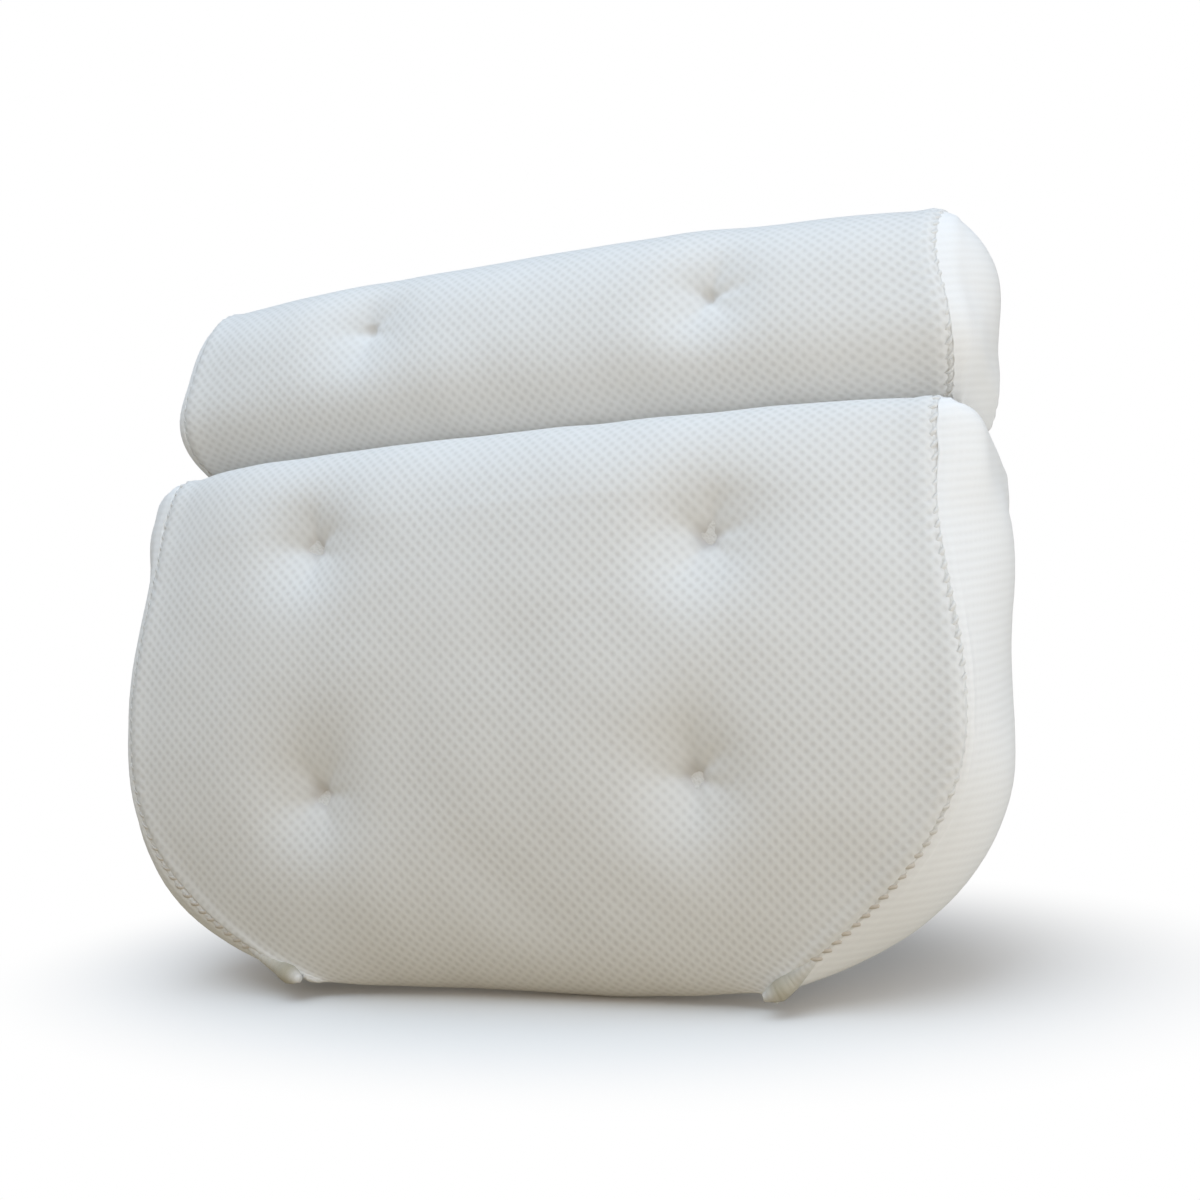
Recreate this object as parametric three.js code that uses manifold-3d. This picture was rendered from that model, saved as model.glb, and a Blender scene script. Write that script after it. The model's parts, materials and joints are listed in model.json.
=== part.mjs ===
// A bath pillow: a wide shoulder pad and a head roll, joined by one stitched fold line at the back.
// Each section is a tube of spacer mesh round a soft filling, closed by two end panels with corded seams.
// Tuft threads draw the mesh in, and six suction cups hold the back to the sloping end of a bath.
// Millimetres. X runs across the pillow, Y from its face to its back and Z up along its back.

import * as THREE from 'three';
import { mergeVertices } from 'three/addons/utils/BufferGeometryUtils.js';
import Module from 'manifold-3d';

const wasm = await Module();
wasm.setup();

// Fabric and seams
const meshThickness = 2.6;
const pieceGap = 0.3;
const cordRadius = 1.9;
const cutOverrun = 5;

// Shoulder pad, in front view
const padHalfWidth = 180;
const padWidestHeight = 103;
const padTopHalfWidth = 171;
const padFootHalfWidth = 103;
const padFaceHeight = 178;
const padHeight = 214;
const padSag = 1.5;
const padTopCrown = 8;

// Shoulder pad, in side view
const padCrownDepth = 88;
const padSeamDepth = 70;
const padFootDepth = 27;
const padBottomDepth = 12;
const padFootBulge = 20;
const padSideBulge = 9;
const padShoulderBulge = 20;

// How far the pad's front top corners are filled out at their seams, forwards and upwards
const padCornerOut = 8;
const padCornerRise = 6.5;

// How far the filling has settled to the left in the pad's lower corners
const padSettle = 6;

// How far the fold drops away at the corners, where the two sections' seams pass each other
const foldDrop = 3.2;

// Seam ends that stand out below the pad's lower corners
const seamEndRadius = 4;
const seamEndLength = 12;

// Head roll
const rollGap = 0.6;
const rollHalfWidth = 168;
const rollHeight = 87;
const rollCrownHeight = 4;
const rollCrownDepth = 76;
const rollSeamDepth = 62;
const rollBackRound = 30;
const rollSideBulge = 18;

// Fold line between the two
const foldCordRadius = 1.6;

// Tufts, each where its thread was pulled
const tuftDepth = 16;
const rollTuftDepth = 12;
const tuftPinchRadius = 5;
const tuftBowlRadius = 21;
const threadRadius = 0.8;
const knotRadius = 1.4;
const padTuftShares = {
  upper_left: [-0.5, 0.795],
  upper_right: [0.5, 0.757],
  lower_left: [-0.495, 0.336],
  lower_right: [0.456, 0.354],
};
const rollTuftShares = { left: [-0.458, 0.648], right: [0.472, 0.568] };

// Suction cups and the webbing tabs that hold them
const cupRadius = 25;
const cupHeight = 14;
const cupHollow = 12;
const cupRimWidth = 3;
const cupShoulderRadius = 8;
const cupNeckRadius = 3.4;
const cupHeadRadius = 7.5;
const cupHeadThickness = 1.8;
const cupHeadRoom = 0.6;
const tabWidth = 27;
const tabLength = 46;
const tabFootLength = 9;
const tabThickness = 1.4;
const tabRise = 3.4;
const padCupShares = {
  pad_upper_left: [-0.7, 0.77],
  pad_upper_right: [0.7, 0.77],
  pad_lower_left: [-0.655, 0.336],
  pad_lower_right: [0.655, 0.336],
};
const rollCupShares = { roll_left: [-0.298, 0.453], roll_right: [0.298, 0.453] };

// The slope of the bath's end, from upright
const bathSlope = THREE.MathUtils.degToRad(24);

// Shape shares
const cornerFullnessShare = 2.6;
const crownFullnessShare = 3;
const padTopSquarenessShare = 3;
const rollUnderSquarenessShare = 2.5;
const rollTopSquarenessShare = 2.3;
const wedgeShare = 0.22;
const settledShares = [0.4, 0.92];
const backTurnShare = 3;
const pinchDepthShare = 0.45;
const bellyRoundnessShare = 2;
const padBellyFullnessShare = 7;
const rollBellyFullnessShare = 3;
const coreBellyShare = 0.5;
const coreCapShares = [0.9, 0.7, 0.4];
const seamTipShare = 0.8;
const seamEndRoomShare = 0.75;
const bellFlareShare = 1.6;
const slantLimitShare = 2.4;

// How the mesh is divided: its bare rows as travels, the rows round a tuft as shares of its bowl,
// and the outermost column as a share of the half width
const padBackRows = [-0.9, -0.8, -0.68, -0.56, -0.44, -0.3, -0.16];
const padBareRows = [...padBackRows, 0, 0.17, 0.36, 0.78, 1.2, 1.3, 1.42, 1.62, 1.82];
const rollBareRows = [0.2, 0.4, 0.6, 0.78, 1.62, 1.85, 2.15, 2.32, 2.5, 2.75, 3];
const tuftRowShares = [-1.1, -0.3, 0, 0.3, 1.1];
const outerColumnShare = 0.86;
const shiftReachShare = 0.16;
const rowMarginShare = 0.02;
const probeShare = 0.002;
const endPanelColumns = 6;
const rollEndRows = 12;
const cordSides = 6;
const holeSides = 8;
const cupSides = 20;
const cupSteps = 5;
const halvings = 40;

// Derived sizes
const edgeInset = meshThickness + pieceGap;
const cordGap = cordRadius + pieceGap;
const foldHeight = padHeight + rollGap / 2;
const foldInset = foldCordRadius + pieceGap;
const coreInset = edgeInset + 2 * pieceGap;
const threadHole = threadRadius + pieceGap;
const drillDepth = 2 * (padCrownDepth + cutOverrun);
const rollBase = padHeight + rollGap;
const quarterTurn = Math.PI / 2;
const tabTop = pieceGap + tabRise + tabThickness;
const cupBase = tabTop + pieceGap;
const wallDistance = cupBase + cupHeight;


// Places given as shares of a section's half width and of its height above a base
function placesOf(shares, halfWidth, height, base) {
  return Object.entries(shares).map(([name, [across, up]]) => ({
    name, x: across * halfWidth, z: base + up * height,
  }));
}

const padTufts = placesOf(padTuftShares, padTopHalfWidth, padHeight, 0);
const padCups = placesOf(padCupShares, padTopHalfWidth, padHeight, 0);
const rollTufts = placesOf(rollTuftShares, rollHalfWidth, rollHeight, rollBase);
const rollCups = placesOf(rollCupShares, rollHalfWidth, rollHeight, rollBase);

const { lerp, clamp } = THREE.MathUtils;
const vector = (x, y, z) => new THREE.Vector3(x, y, z);

// The two coordinates of a quarter superellipse, as shares of its half axes
function quarterCurve(angle, squareness) {
  const power = 2 / squareness;
  return [Math.max(Math.cos(angle), 0) ** power, Math.max(Math.sin(angle), 0) ** power];
}

// How far a tuft's thread draws the mesh in at a point
function drawnIn(tufts, depth, x, z) {
  return tufts.reduce((sum, tuft) => {
    const away = Math.hypot(x - tuft.x, z - tuft.z);
    const pinch = pinchDepthShare * Math.exp(-away / tuftPinchRadius);
    const bowl = (1 - pinchDepthShare) * Math.exp(-((away / tuftBowlRadius) ** 2));
    return sum + depth * (pinch + bowl);
  }, 0);
}

// Half the pad's width between its seams, at a height
function padHalfWidthAt(z) {
  if (z < padWidestHeight) {
    const left = 1 - Math.max(z, 0) / padWidestHeight;
    return lerp(padFootHalfWidth, padHalfWidth, 1 - left ** cornerFullnessShare);
  }
  const rise = THREE.MathUtils.smoothstep(z, padWidestHeight, padFaceHeight);
  return lerp(padHalfWidth, padTopHalfWidth, rise);
}

// The pad's side seam, or a line inside it. Travel runs from -1 at the fold line, down the back
// to 0 at the foot, up the face to 1, and over the top to 2 at the fold line again.
function padSide(travel, inset = 0) {
  if (travel <= 0) {
    const swing = -travel * quarterTurn;
    const z = (padHeight - foldDrop) * (1 - Math.cos(swing));
    const turn = Math.sin(Math.min(swing * backTurnShare, quarterTurn));
    return vector(padHalfWidthAt(z), -padFootDepth * (1 - turn ** 2) - inset, z);
  }
  if (travel <= 1) {
    const swing = travel * quarterTurn;
    const z = padFaceHeight * (1 - Math.cos(swing));
    const depth = lerp(padFootDepth, padSeamDepth, Math.sin(swing) ** 2) - inset;
    return vector(padHalfWidthAt(z), -depth, z);
  }
  const angle = (travel - 1) * quarterTurn;
  const [forward, up] = quarterCurve(angle, padTopSquarenessShare);
  const corner = Math.sin(2 * angle) ** 2;
  const z = lerp(padFaceHeight, padHeight - inset, up) - foldDrop * (1 - forward);
  const depth = (padSeamDepth - inset) * forward + padCornerOut * corner;
  return vector(padTopHalfWidth, -depth, z + padCornerRise * corner);
}

// The pad's middle line, with the same travel
function padMiddle(travel) {
  if (travel <= 0) {
    const swing = -travel * quarterTurn;
    const turn = Math.sin(Math.min(swing * backTurnShare, quarterTurn));
    return vector(0, -padBottomDepth * (1 - turn), lerp(-padSag, padHeight, 1 - Math.cos(swing)));
  }
  if (travel <= 1) {
    const swing = travel * quarterTurn;
    const rise = 1 - Math.cos(swing);
    const share = lerp(Math.sin(swing), rise, wedgeShare);
    return vector(0, -lerp(padBottomDepth, padCrownDepth, share), lerp(-padSag, padFaceHeight, rise));
  }
  const angle = (travel - 1) * quarterTurn;
  const [forward, up] = quarterCurve(angle, padTopSquarenessShare);
  const crown = padTopCrown * Math.sin(2 * angle) ** 2;
  return vector(0, -padCrownDepth * forward, lerp(padFaceHeight, padHeight, up) + crown);
}

// The roll's section between a base and a top. Travel runs from 0 at the fold line, forward
// under the roll to 1 at its front, over the top to 3 at its back, and down to 4 at the fold line.
function rollSection(travel, depth, base, top, inset = 0) {
  const middle = (base + top) / 2;
  const [low, high] = [base + inset, top - inset];
  if (travel <= 1) {
    const [forward, down] = quarterCurve((1 - travel) * quarterTurn, rollUnderSquarenessShare);
    return vector(0, -lerp(inset, depth - inset, forward), lerp(middle, low, down));
  }
  if (travel <= 2) {
    const [forward, up] = quarterCurve((travel - 1) * quarterTurn, rollTopSquarenessShare);
    return vector(0, -lerp(rollBackRound, depth - inset, forward), lerp(middle, high, up));
  }
  if (travel <= 3) {
    const [up, back] = quarterCurve((travel - 2) * quarterTurn, rollTopSquarenessShare);
    return vector(0, -lerp(rollBackRound, inset, back), lerp(middle, high, up));
  }
  return vector(0, -inset, lerp(middle, low, travel - 3));
}

function rollSide(travel, inset = 0) {
  const point = rollSection(travel, rollSeamDepth, rollBase + foldDrop, rollBase + rollHeight, inset);
  return point.setX(rollHalfWidth);
}

function rollMiddle(travel) {
  return rollSection(travel, rollCrownDepth, rollBase, rollBase + rollHeight + rollCrownHeight);
}

// Both sections, each as its rails, its travel's ends, the travels of its face and its tufts
const shoulder = {
  side: padSide, middle: padMiddle, first: -1, last: 2, face: [0.2, 1.2],
  tufts: padTufts, tuftDepth, frontDepth: padFootDepth,
};
const head = {
  side: rollSide, middle: rollMiddle, first: 0, last: 4, face: [0.6, 1.7],
  tufts: rollTufts, tuftDepth: rollTuftDepth, frontDepth: rollBackRound,
};

// The value between two ends at which a test stops holding
function turningPoint(low, high, holds) {
  let [from, to] = [low, high];
  for (let i = 0; i < halvings; i++) {
    const middle = (from + to) / 2;
    if (holds(middle)) from = middle;
    else to = middle;
  }
  return (from + to) / 2;
}

// A point of a section's mesh. Across runs from -1 at the left seam to 1 at the right.
function skinPoint(section, across, travel) {
  const side = section.side(travel);
  const crown = 1 - Math.abs(across) ** crownFullnessShare;
  const point = side.clone().lerp(section.middle(travel), crown);
  point.x = across * side.x;
  if (point.y < -section.frontDepth) {
    point.y += drawnIn(section.tufts, section.tuftDepth, point.x, point.z);
  }
  return point;
}

// A surface's outward direction, from two small steps
function facing(surface, a, b, aRange, bRange) {
  const [a0, a1] = [Math.max(a - probeShare, aRange[0]), Math.min(a + probeShare, aRange[1])];
  const [b0, b1] = [Math.max(b - probeShare, bRange[0]), Math.min(b + probeShare, bRange[1])];
  const alongA = surface(a1, b).sub(surface(a0, b));
  const alongB = surface(a, b1).sub(surface(a, b0));
  return alongA.cross(alongB).normalize();
}

// A closed solid from points and faces, turned so that its faces point out
function solid(points, faces) {
  let volume = 0;
  for (let i = 0; i < faces.length; i += 3) {
    const [a, b, c] = [points[faces[i]], points[faces[i + 1]], points[faces[i + 2]]];
    volume += a.dot(b.clone().cross(c));
  }
  const geometry = new THREE.BufferGeometry().setFromPoints(points);
  geometry.setIndex(volume < 0 ? faces.slice().reverse() : faces);
  return geometry;
}

// A skin between an outer and an inner grid of points, closed round its edges
function shell(outer, inner) {
  const rows = outer.length;
  const columns = outer[0].length;
  const faces = [];
  const at = (layer, i, j) => (layer * rows + i) * columns + j;
  const quad = (a, b, c, d) => faces.push(a, b, c, a, c, d);
  for (let i = 0; i < rows - 1; i++) {
    for (let j = 0; j < columns - 1; j++) {
      quad(at(0, i, j), at(0, i, j + 1), at(0, i + 1, j + 1), at(0, i + 1, j));
      quad(at(1, i, j), at(1, i + 1, j), at(1, i + 1, j + 1), at(1, i, j + 1));
    }
    const j = columns - 1;
    quad(at(0, i, 0), at(0, i + 1, 0), at(1, i + 1, 0), at(1, i, 0));
    quad(at(0, i, j), at(1, i, j), at(1, i + 1, j), at(0, i + 1, j));
  }
  for (let j = 0; j < columns - 1; j++) {
    const i = rows - 1;
    quad(at(0, 0, j), at(1, 0, j), at(1, 0, j + 1), at(0, 0, j + 1));
    quad(at(0, i, j), at(0, i, j + 1), at(1, i, j + 1), at(1, i, j));
  }
  return solid([...outer.flat(), ...inner.flat()], faces);
}

// A round cord through the points of a path, with a radius at each
function cord(path, radii, sides) {
  let normal = vector(0, 1, 0);
  const rings = path.map((centre, i) => {
    const next = path[Math.min(i + 1, path.length - 1)];
    const along = next.clone().sub(path[Math.max(i - 1, 0)]).normalize();
    normal = normal.clone().addScaledVector(along, -normal.dot(along)).normalize();
    const across = along.clone().cross(normal);
    return Array.from({ length: sides }, (_, j) => {
      const angle = (j / sides) * 2 * Math.PI;
      const point = centre.clone().addScaledVector(normal, radii[i] * Math.cos(angle));
      return point.addScaledVector(across, radii[i] * Math.sin(angle));
    });
  });
  return fanned(rings);
}

// A body through rings of points, closed by a fan from the middle of each end ring
function fanned(rings) {
  const count = rings[0].length;
  const points = rings.flat();
  const faces = [];
  for (let i = 0; i < rings.length - 1; i++) {
    for (let j = 0; j < count; j++) {
      const k = (j + 1) % count;
      const [a, b] = [i * count, (i + 1) * count];
      faces.push(a + j, a + k, b + k, a + j, b + k, b + j);
    }
  }
  for (const [ring, start, turn] of [[rings[0], 0, 1], [rings.at(-1), points.length - count, 0]]) {
    const middle = ring.reduce((sum, point) => sum.add(point), vector(0, 0, 0)).divideScalar(count);
    const hub = points.push(middle) - 1;
    for (let j = 0; j < count; j++) {
      const [a, b] = [start + j, start + ((j + 1) % count)];
      faces.push(...(turn ? [hub, b, a] : [hub, a, b]));
    }
  }
  return solid(points, faces);
}

// How far out the pad's end bellies at a height
function padBulge(z) {
  const low = lerp(padFootBulge, padSideBulge, THREE.MathUtils.smoothstep(z, 0, padWidestHeight));
  return lerp(low, padShoulderBulge, THREE.MathUtils.smoothstep(z, padWidestHeight, padFaceHeight));
}

// A piece of the pad with its lower corners settled to the left, and its middle left as it was
function settled(geometry) {
  const points = geometry.attributes.position;
  for (let i = 0; i < points.count; i++) {
    const [x, z] = [points.getX(i), points.getZ(i)];
    const rise = clamp(z / padWidestHeight, 0, 1);
    const [inner, outer] = settledShares.map((share) => share * padHalfWidthAt(z));
    const slide = padSettle * Math.sin(Math.PI * Math.sqrt(rise)) ** 2;
    points.setX(i, x - slide * THREE.MathUtils.smoothstep(Math.abs(x), inner, outer));
  }
  return geometry;
}

// The same shape on the other side of the pillow
function mirrored(geometry) {
  const copy = geometry.clone().scale(-1, 1, 1);
  copy.setIndex([...copy.index.array].reverse());
  return copy;
}

function toManifold(geometry) {
  const bare = new THREE.BufferGeometry();
  bare.setAttribute('position', geometry.attributes.position.clone());
  if (geometry.index) bare.setIndex(geometry.index.clone());
  const merged = mergeVertices(bare);
  return new wasm.Manifold(new wasm.Mesh({
    numProp: 3,
    vertProperties: new Float32Array(merged.attributes.position.array),
    triVerts: new Uint32Array(merged.index.array),
  }));
}

function fromManifold(manifold) {
  const mesh = manifold.getMesh();
  const geometry = new THREE.BufferGeometry();
  geometry.setAttribute('position', new THREE.BufferAttribute(mesh.vertProperties, 3));
  geometry.setIndex(new THREE.BufferAttribute(mesh.triVerts, 1));
  return geometry;
}

// A solid with a round hole through it from face to back at each place
function drilled(geometry, places, radius, sides) {
  const cut = places.reduce((body, place) => {
    const drill = new THREE.CylinderGeometry(radius, radius, drillDepth, sides);
    drill.translate(place.x, 0, place.z);
    return body.subtract(toManifold(drill));
  }, toManifold(geometry));
  return fromManifold(cut);
}

// The travel at which a section's face reaches a height, at a place across it
function travelTo(section, across, z) {
  return turningPoint(...section.face, (travel) => skinPoint(section, across, travel).z < z);
}

function mean(values) {
  return values.reduce((sum, value) => sum + value, 0) / values.length;
}

// Where a section's grid lines run, and how far the lines through each tuft move to meet it
function gridOf(section, widthAt, rows, bare) {
  const half = widthAt(mean(section.tufts.map((tuft) => tuft.z)));
  const column = mean(section.tufts.map((tuft) => Math.abs(tuft.x))) / half;
  const steps = tuftRowShares.map((share) => share * tuftBowlRadius);
  const right = [...steps.map((step) => column + step / half), outerColumnShare];
  const across = [...right.map((share) => -share).reverse(), 0, ...right];
  const tuftRows = rows.map((names) => {
    const set = section.tufts.filter((tuft) => names.includes(tuft.name));
    return travelTo(section, column, mean(set.map((tuft) => tuft.z)));
  });
  const [low, high] = section.face.map((travel) => section.middle(travel).z);
  const perTravel = (high - low) * quarterTurn;
  const clusters = tuftRows.flatMap((row) => steps.map((step) => row + step / perTravel));
  const travel = [...bare, ...clusters].sort((a, b) => a - b);
  const shifts = section.tufts.map((tuft) => {
    const share = tuft.x / widthAt(tuft.z);
    const row = tuftRows[rows.findIndex((names) => names.includes(tuft.name))];
    const at = [Math.sign(tuft.x) * column, row];
    return { at, by: [share - at[0], travelTo(section, share, tuft.z) - row] };
  });
  return { across, travel, shifts };
}

const padTuftRows = [['lower_left', 'lower_right'], ['upper_left', 'upper_right']];
const padGrid = gridOf(shoulder, padHalfWidthAt, padTuftRows, padBareRows);
const rollGrid = gridOf(head, () => rollHalfWidth, [['left', 'right']], rollBareRows);

// A grid line's place, moved so that the lines cross on the tufts
function moved(grid, across, travel) {
  const place = [across, travel];
  for (const { at, by } of grid.shifts) {
    const near = Math.exp(-((across - at[0]) ** 2 + (travel - at[1]) ** 2) / shiftReachShare ** 2);
    place[0] += by[0] * near;
    place[1] += by[1] * near;
  }
  return place;
}

// How far across a section's mesh reaches before the corded seam, at a travel
function reach(section, travel, inset) {
  const here = section.side(travel);
  const ahead = section.side(Math.min(travel + probeShare, section.last));
  const behind = section.side(Math.max(travel - probeShare, section.first));
  const run = ahead.sub(behind);
  const slant = Math.hypot(run.x, run.y, run.z) / Math.hypot(run.y, run.z);
  return 1 - (inset * Math.min(slant, slantLimitShare) + seamEndRoom(section, here)) / here.x;
}

// Extra room in the mesh for the seam ends at the pad's foot
function seamEndRoom(section, here) {
  if (section !== shoulder) return 0;
  const near = here.z / (2 * seamEndRadius);
  return (seamEndRadius + seamEndRoomShare * meshThickness) * Math.exp(-(near ** 2));
}

// Rows of points of a section's mesh, inset at its seams and sunk by a depth, deeper along the foot
function skinRows(section, grid, ends, inset, sunk, footSunk = sunk) {
  const range = [section.first, section.last];
  const surface = (a, b) => skinPoint(section, a, b);
  return [ends[0], ...grid.travel, ends[1]].map((row) => {
    const limit = reach(section, row, inset);
    return [-1, ...grid.across, 1].map((column) => {
      const edge = Math.abs(column) === 1;
      const [a, b] = edge ? [column * limit, row] : moved(grid, column, row);
      const point = surface(a, b);
      const depth = row === 0 ? footSunk : sunk;
      return point.addScaledVector(facing(surface, a, b, [-1, 1], range), -depth);
    });
  });
}

// The travel at which a section's middle line comes within a distance of the fold line
function nearFold(section, from, towards, distance) {
  const end = section.middle(towards);
  return turningPoint(from, towards, (travel) => section.middle(travel).distanceTo(end) > distance);
}

// The four places where a section's mesh and its seams stop, seen from the fold line
const padBackStop = (distance) => nearFold(shoulder, padBareRows[0], shoulder.first, distance);
const padTopStop = (distance) => nearFold(shoulder, padBareRows.at(-1), shoulder.last, distance);
const rollUnderStop = (distance) => nearFold(head, rollBareRows[0], head.first, distance);
const rollBackStop = (distance) => nearFold(head, rollBareRows.at(-1), head.last, distance);

function wrapPanel(section, grid, ends) {
  const outer = skinRows(section, grid, ends, cordGap, 0);
  const inner = skinRows(section, grid, ends, cordGap, meshThickness);
  return drilled(shell(outer, inner), section.tufts, threadHole, holeSides);
}

// A section's end panel: its height range, front and back rails, belly and the edges of its rows
const padEnd = {
  halfWidth: padHalfWidthAt,
  bulge: padBulge,
  fullness: padBellyFullnessShare,
  low: edgeInset + seamEndRadius,
  high: padHeight - foldDrop - coreInset,
  front: (z, inset) => railDepth(padSide, inset, 0, shoulder.last, z),
  back: (z, inset) => railDepth(padSide, inset, 0, shoulder.first, z),
  edges: padPanelEdges,
};
const rollEndMiddle = rollBase + (rollHeight + foldDrop) / 2;
const [rollFrontTravel, rollTopTravel, rollBackTravel] = [1, 2, 3];
const rollEnd = {
  halfWidth: () => rollHalfWidth,
  bulge: () => rollSideBulge,
  fullness: rollBellyFullnessShare,
  low: rollBase + foldDrop + coreInset + pieceGap,
  high: rollBase + rollHeight - coreInset - pieceGap,
  front: (z, inset) => rollDepth(head.first, rollFrontTravel, z, inset),
  back: (z, inset) => rollDepth(head.last, rollBackTravel, z, inset),
  edges: rollPanelEdges,
};

// The depth of a rail where it reaches a height, between two travels
function railDepth(rail, inset, from, to, z) {
  const rising = rail(to, inset).z > rail(from, inset).z;
  return rail(turningPoint(from, to, (travel) => rail(travel, inset).z < z === rising), inset).y;
}

// The depth of the roll's rail, between its fullest travel and the fold line or the top
function rollDepth(foldTravel, fullTravel, z, inset) {
  const from = z < rollEndMiddle ? foldTravel : rollTopTravel;
  return railDepth(rollSide, inset, from, fullTravel, z);
}

// How far out an end panel stands at a place of its section
function endPanelX(end, y, z) {
  const [front, back] = [end.front(z, 0), end.back(z, 0)];
  const share = clamp((y - front) / Math.max(back - front, pieceGap), 0, 1);
  const height = clamp((z - end.low) / (end.high - end.low), 0, 1);
  const across = 1 - Math.abs(2 * share - 1) ** bellyRoundnessShare;
  const upwards = 1 - Math.abs(2 * height - 1) ** end.fullness;
  return end.halfWidth(z) + end.bulge(z) * across * upwards;
}

// The front and back edge of a level row of the roll's end panel
function rollPanelEdges(row) {
  const z = lerp(rollEnd.low, rollEnd.high, row);
  return [vector(0, rollEnd.front(z, edgeInset), z), vector(0, rollEnd.back(z, coreInset), z)];
}

// The front and back edge of a row of the pad's end panel, which follows the front seam over the top
function padPanelEdges(row) {
  const front = padSide(lerp(padPanelFoot, padPanelTop, row), coreInset);
  const z = Math.min(front.z, padEnd.high);
  return [front, vector(0, padEnd.back(z, coreInset), z)];
}

// Rows of points of the right end panel, sunk into it by a depth
function endRows(end, rows, sunk) {
  const surface = (row, column) => {
    const [front, back] = end.edges(row);
    const [y, z] = [lerp(front.y, back.y, column), lerp(front.z, back.z, column)];
    return vector(endPanelX(end, y, z), y, z);
  };
  return rows.map((row) => {
    return Array.from({ length: endPanelColumns + 1 }, (_, j) => {
      const column = j / endPanelColumns;
      const out = facing(surface, row, column, [0, 1], [0, 1]);
      if (out.x < 0) out.negate();
      return surface(row, column).addScaledVector(out, -sunk);
    });
  });
}

function endPanel(end, rows) {
  return shell(endRows(end, rows, 0), endRows(end, rows, meshThickness));
}

// The rows of the pad's end panel, level with its mesh's, and of the roll's, closer at its two ends
const padPanelFoot = turningPoint(0, 1, (travel) => padSide(travel, coreInset).z < padEnd.low);
const padPanelTop = padTopStop(4 * edgeInset);
const padPanelRows = [padPanelFoot, ...padGrid.travel, padPanelTop]
  .filter((travel) => travel >= padPanelFoot && travel <= padPanelTop)
  .map((travel) => (travel - padPanelFoot) / (padPanelTop - padPanelFoot));
const rollPanelRows = Array.from({ length: rollEndRows + 1 }, (_, i) => {
  return (1 - Math.cos((i / rollEndRows) * Math.PI)) / 2;
});

// A section's soft core, inside its mesh and end panels
function filling(section, grid, ends, end) {
  const rows = skinRows(section, grid, ends, coreInset + 3 * pieceGap, coreInset, 2 * edgeInset);
  const rings = rows[0].map((_, j) => rows.map((row) => row[j]));
  const domed = (ring, side) => coreCapShares.map((scale) => {
    const total = ring.reduce((sum, point) => sum.add(point), vector(0, 0, 0));
    const centre = total.divideScalar(ring.length);
    return ring.map((point) => {
      const y = lerp(centre.y, point.y, scale);
      const z = lerp(centre.z, point.z, scale);
      const slope = (end.halfWidth(z + pieceGap) - end.halfWidth(z - pieceGap)) / (2 * pieceGap);
      const x = lerp(end.halfWidth(z), endPanelX(end, y, z), coreBellyShare);
      return vector(side * (x - coreInset * Math.hypot(1, slope)), y, z);
    });
  });
  const all = [...domed(rings[0], -1).reverse(), ...rings, ...domed(rings.at(-1), 1)];
  return drilled(fanned(all), section.tufts, threadHole, holeSides);
}

// The points of a section's seam between two travels, level with the rows of its mesh
function seamPath(section, grid, from, to) {
  const inside = (row) => row > from + rowMarginShare && row < to - rowMarginShare;
  return [from, ...grid.travel.filter(inside), to].map((row) => section.side(row));
}

// A seam's cord between two travels
function seamCord(section, grid, from, to) {
  const path = seamPath(section, grid, from, to);
  return cord(path, path.map(() => cordRadius), cordSides);
}

// The travel at which a rail that starts at the foot has risen to a height
function risenTo(z, height) {
  return Math.acos(1 - z / height) / quarterTurn;
}

// The pad's front cord, which ends in the bundled seam ends below the foot
function padFrontCord() {
  const start = risenTo(seamEndRadius, padFaceHeight);
  const path = seamPath(shoulder, padGrid, start, padTopStop(2 * cordGap));
  const run = path[0].clone().sub(path[1]).setY(0).normalize();
  const tip = path[0].clone().addScaledVector(run, seamEndLength);
  const bend = path[0].clone().addScaledVector(run, seamEndLength / 2);
  const end = [seamEndRadius * seamTipShare, seamEndRadius];
  return cord([tip, bend, ...path], [...end, ...path.map(() => cordRadius)], cordSides);
}

// A tuft's thread from its dimple to the back, with a knot at each end
function tuftThread(section, tuft) {
  const share = tuft.x / section.side(travelTo(section, 1, tuft.z)).x;
  const apex = skinPoint(section, share, travelTo(section, share, tuft.z)).y;
  const front = apex - 2 * knotRadius - pieceGap;
  const back = knotRadius + pieceGap;
  const knot = (middle, from, to) => Array.from({ length: 3 }, (_, i) => {
    const angle = lerp(from, to, (i + 1) / 4);
    return new THREE.Vector2(knotRadius * Math.sin(angle), middle - knotRadius * Math.cos(angle));
  });
  const joint = Math.asin(threadRadius / knotRadius);
  const profile = [
    new THREE.Vector2(0, front - knotRadius),
    ...knot(front, 0, Math.PI - joint),
    new THREE.Vector2(threadRadius, front + knotRadius * Math.cos(joint)),
    new THREE.Vector2(threadRadius, back - knotRadius * Math.cos(joint)),
    ...knot(back, joint, Math.PI),
    new THREE.Vector2(0, back + knotRadius),
  ];
  return new THREE.LatheGeometry(profile, cordSides);
}

// A webbing tab: feet sewn to the back, a raised middle and a buttonhole for the cup's neck
function cupTab() {
  const half = tabLength / 2;
  const foot = half - tabFootLength;
  const crest = foot - tabRise;
  const shape = new THREE.Shape();
  const under = [[-half, 0], [-foot, 0], [-crest, tabRise], [crest, tabRise], [foot, 0], [half, 0]];
  const over = [[half, tabThickness], [foot, tabThickness], [crest, tabRise + tabThickness]];
  const rest = [[-crest, tabRise + tabThickness], [-foot, tabThickness], [-half, tabThickness]];
  [...under, ...over, ...rest].forEach(([x, y], i) => (i ? shape.lineTo(x, y) : shape.moveTo(x, y)));
  const strip = new THREE.ExtrudeGeometry(shape, { depth: tabWidth, bevelEnabled: false });
  strip.translate(0, pieceGap, -tabWidth / 2);
  return drilled(strip, [vector(0, 0, 0)], cupNeckRadius + pieceGap, cupSides);
}

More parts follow.
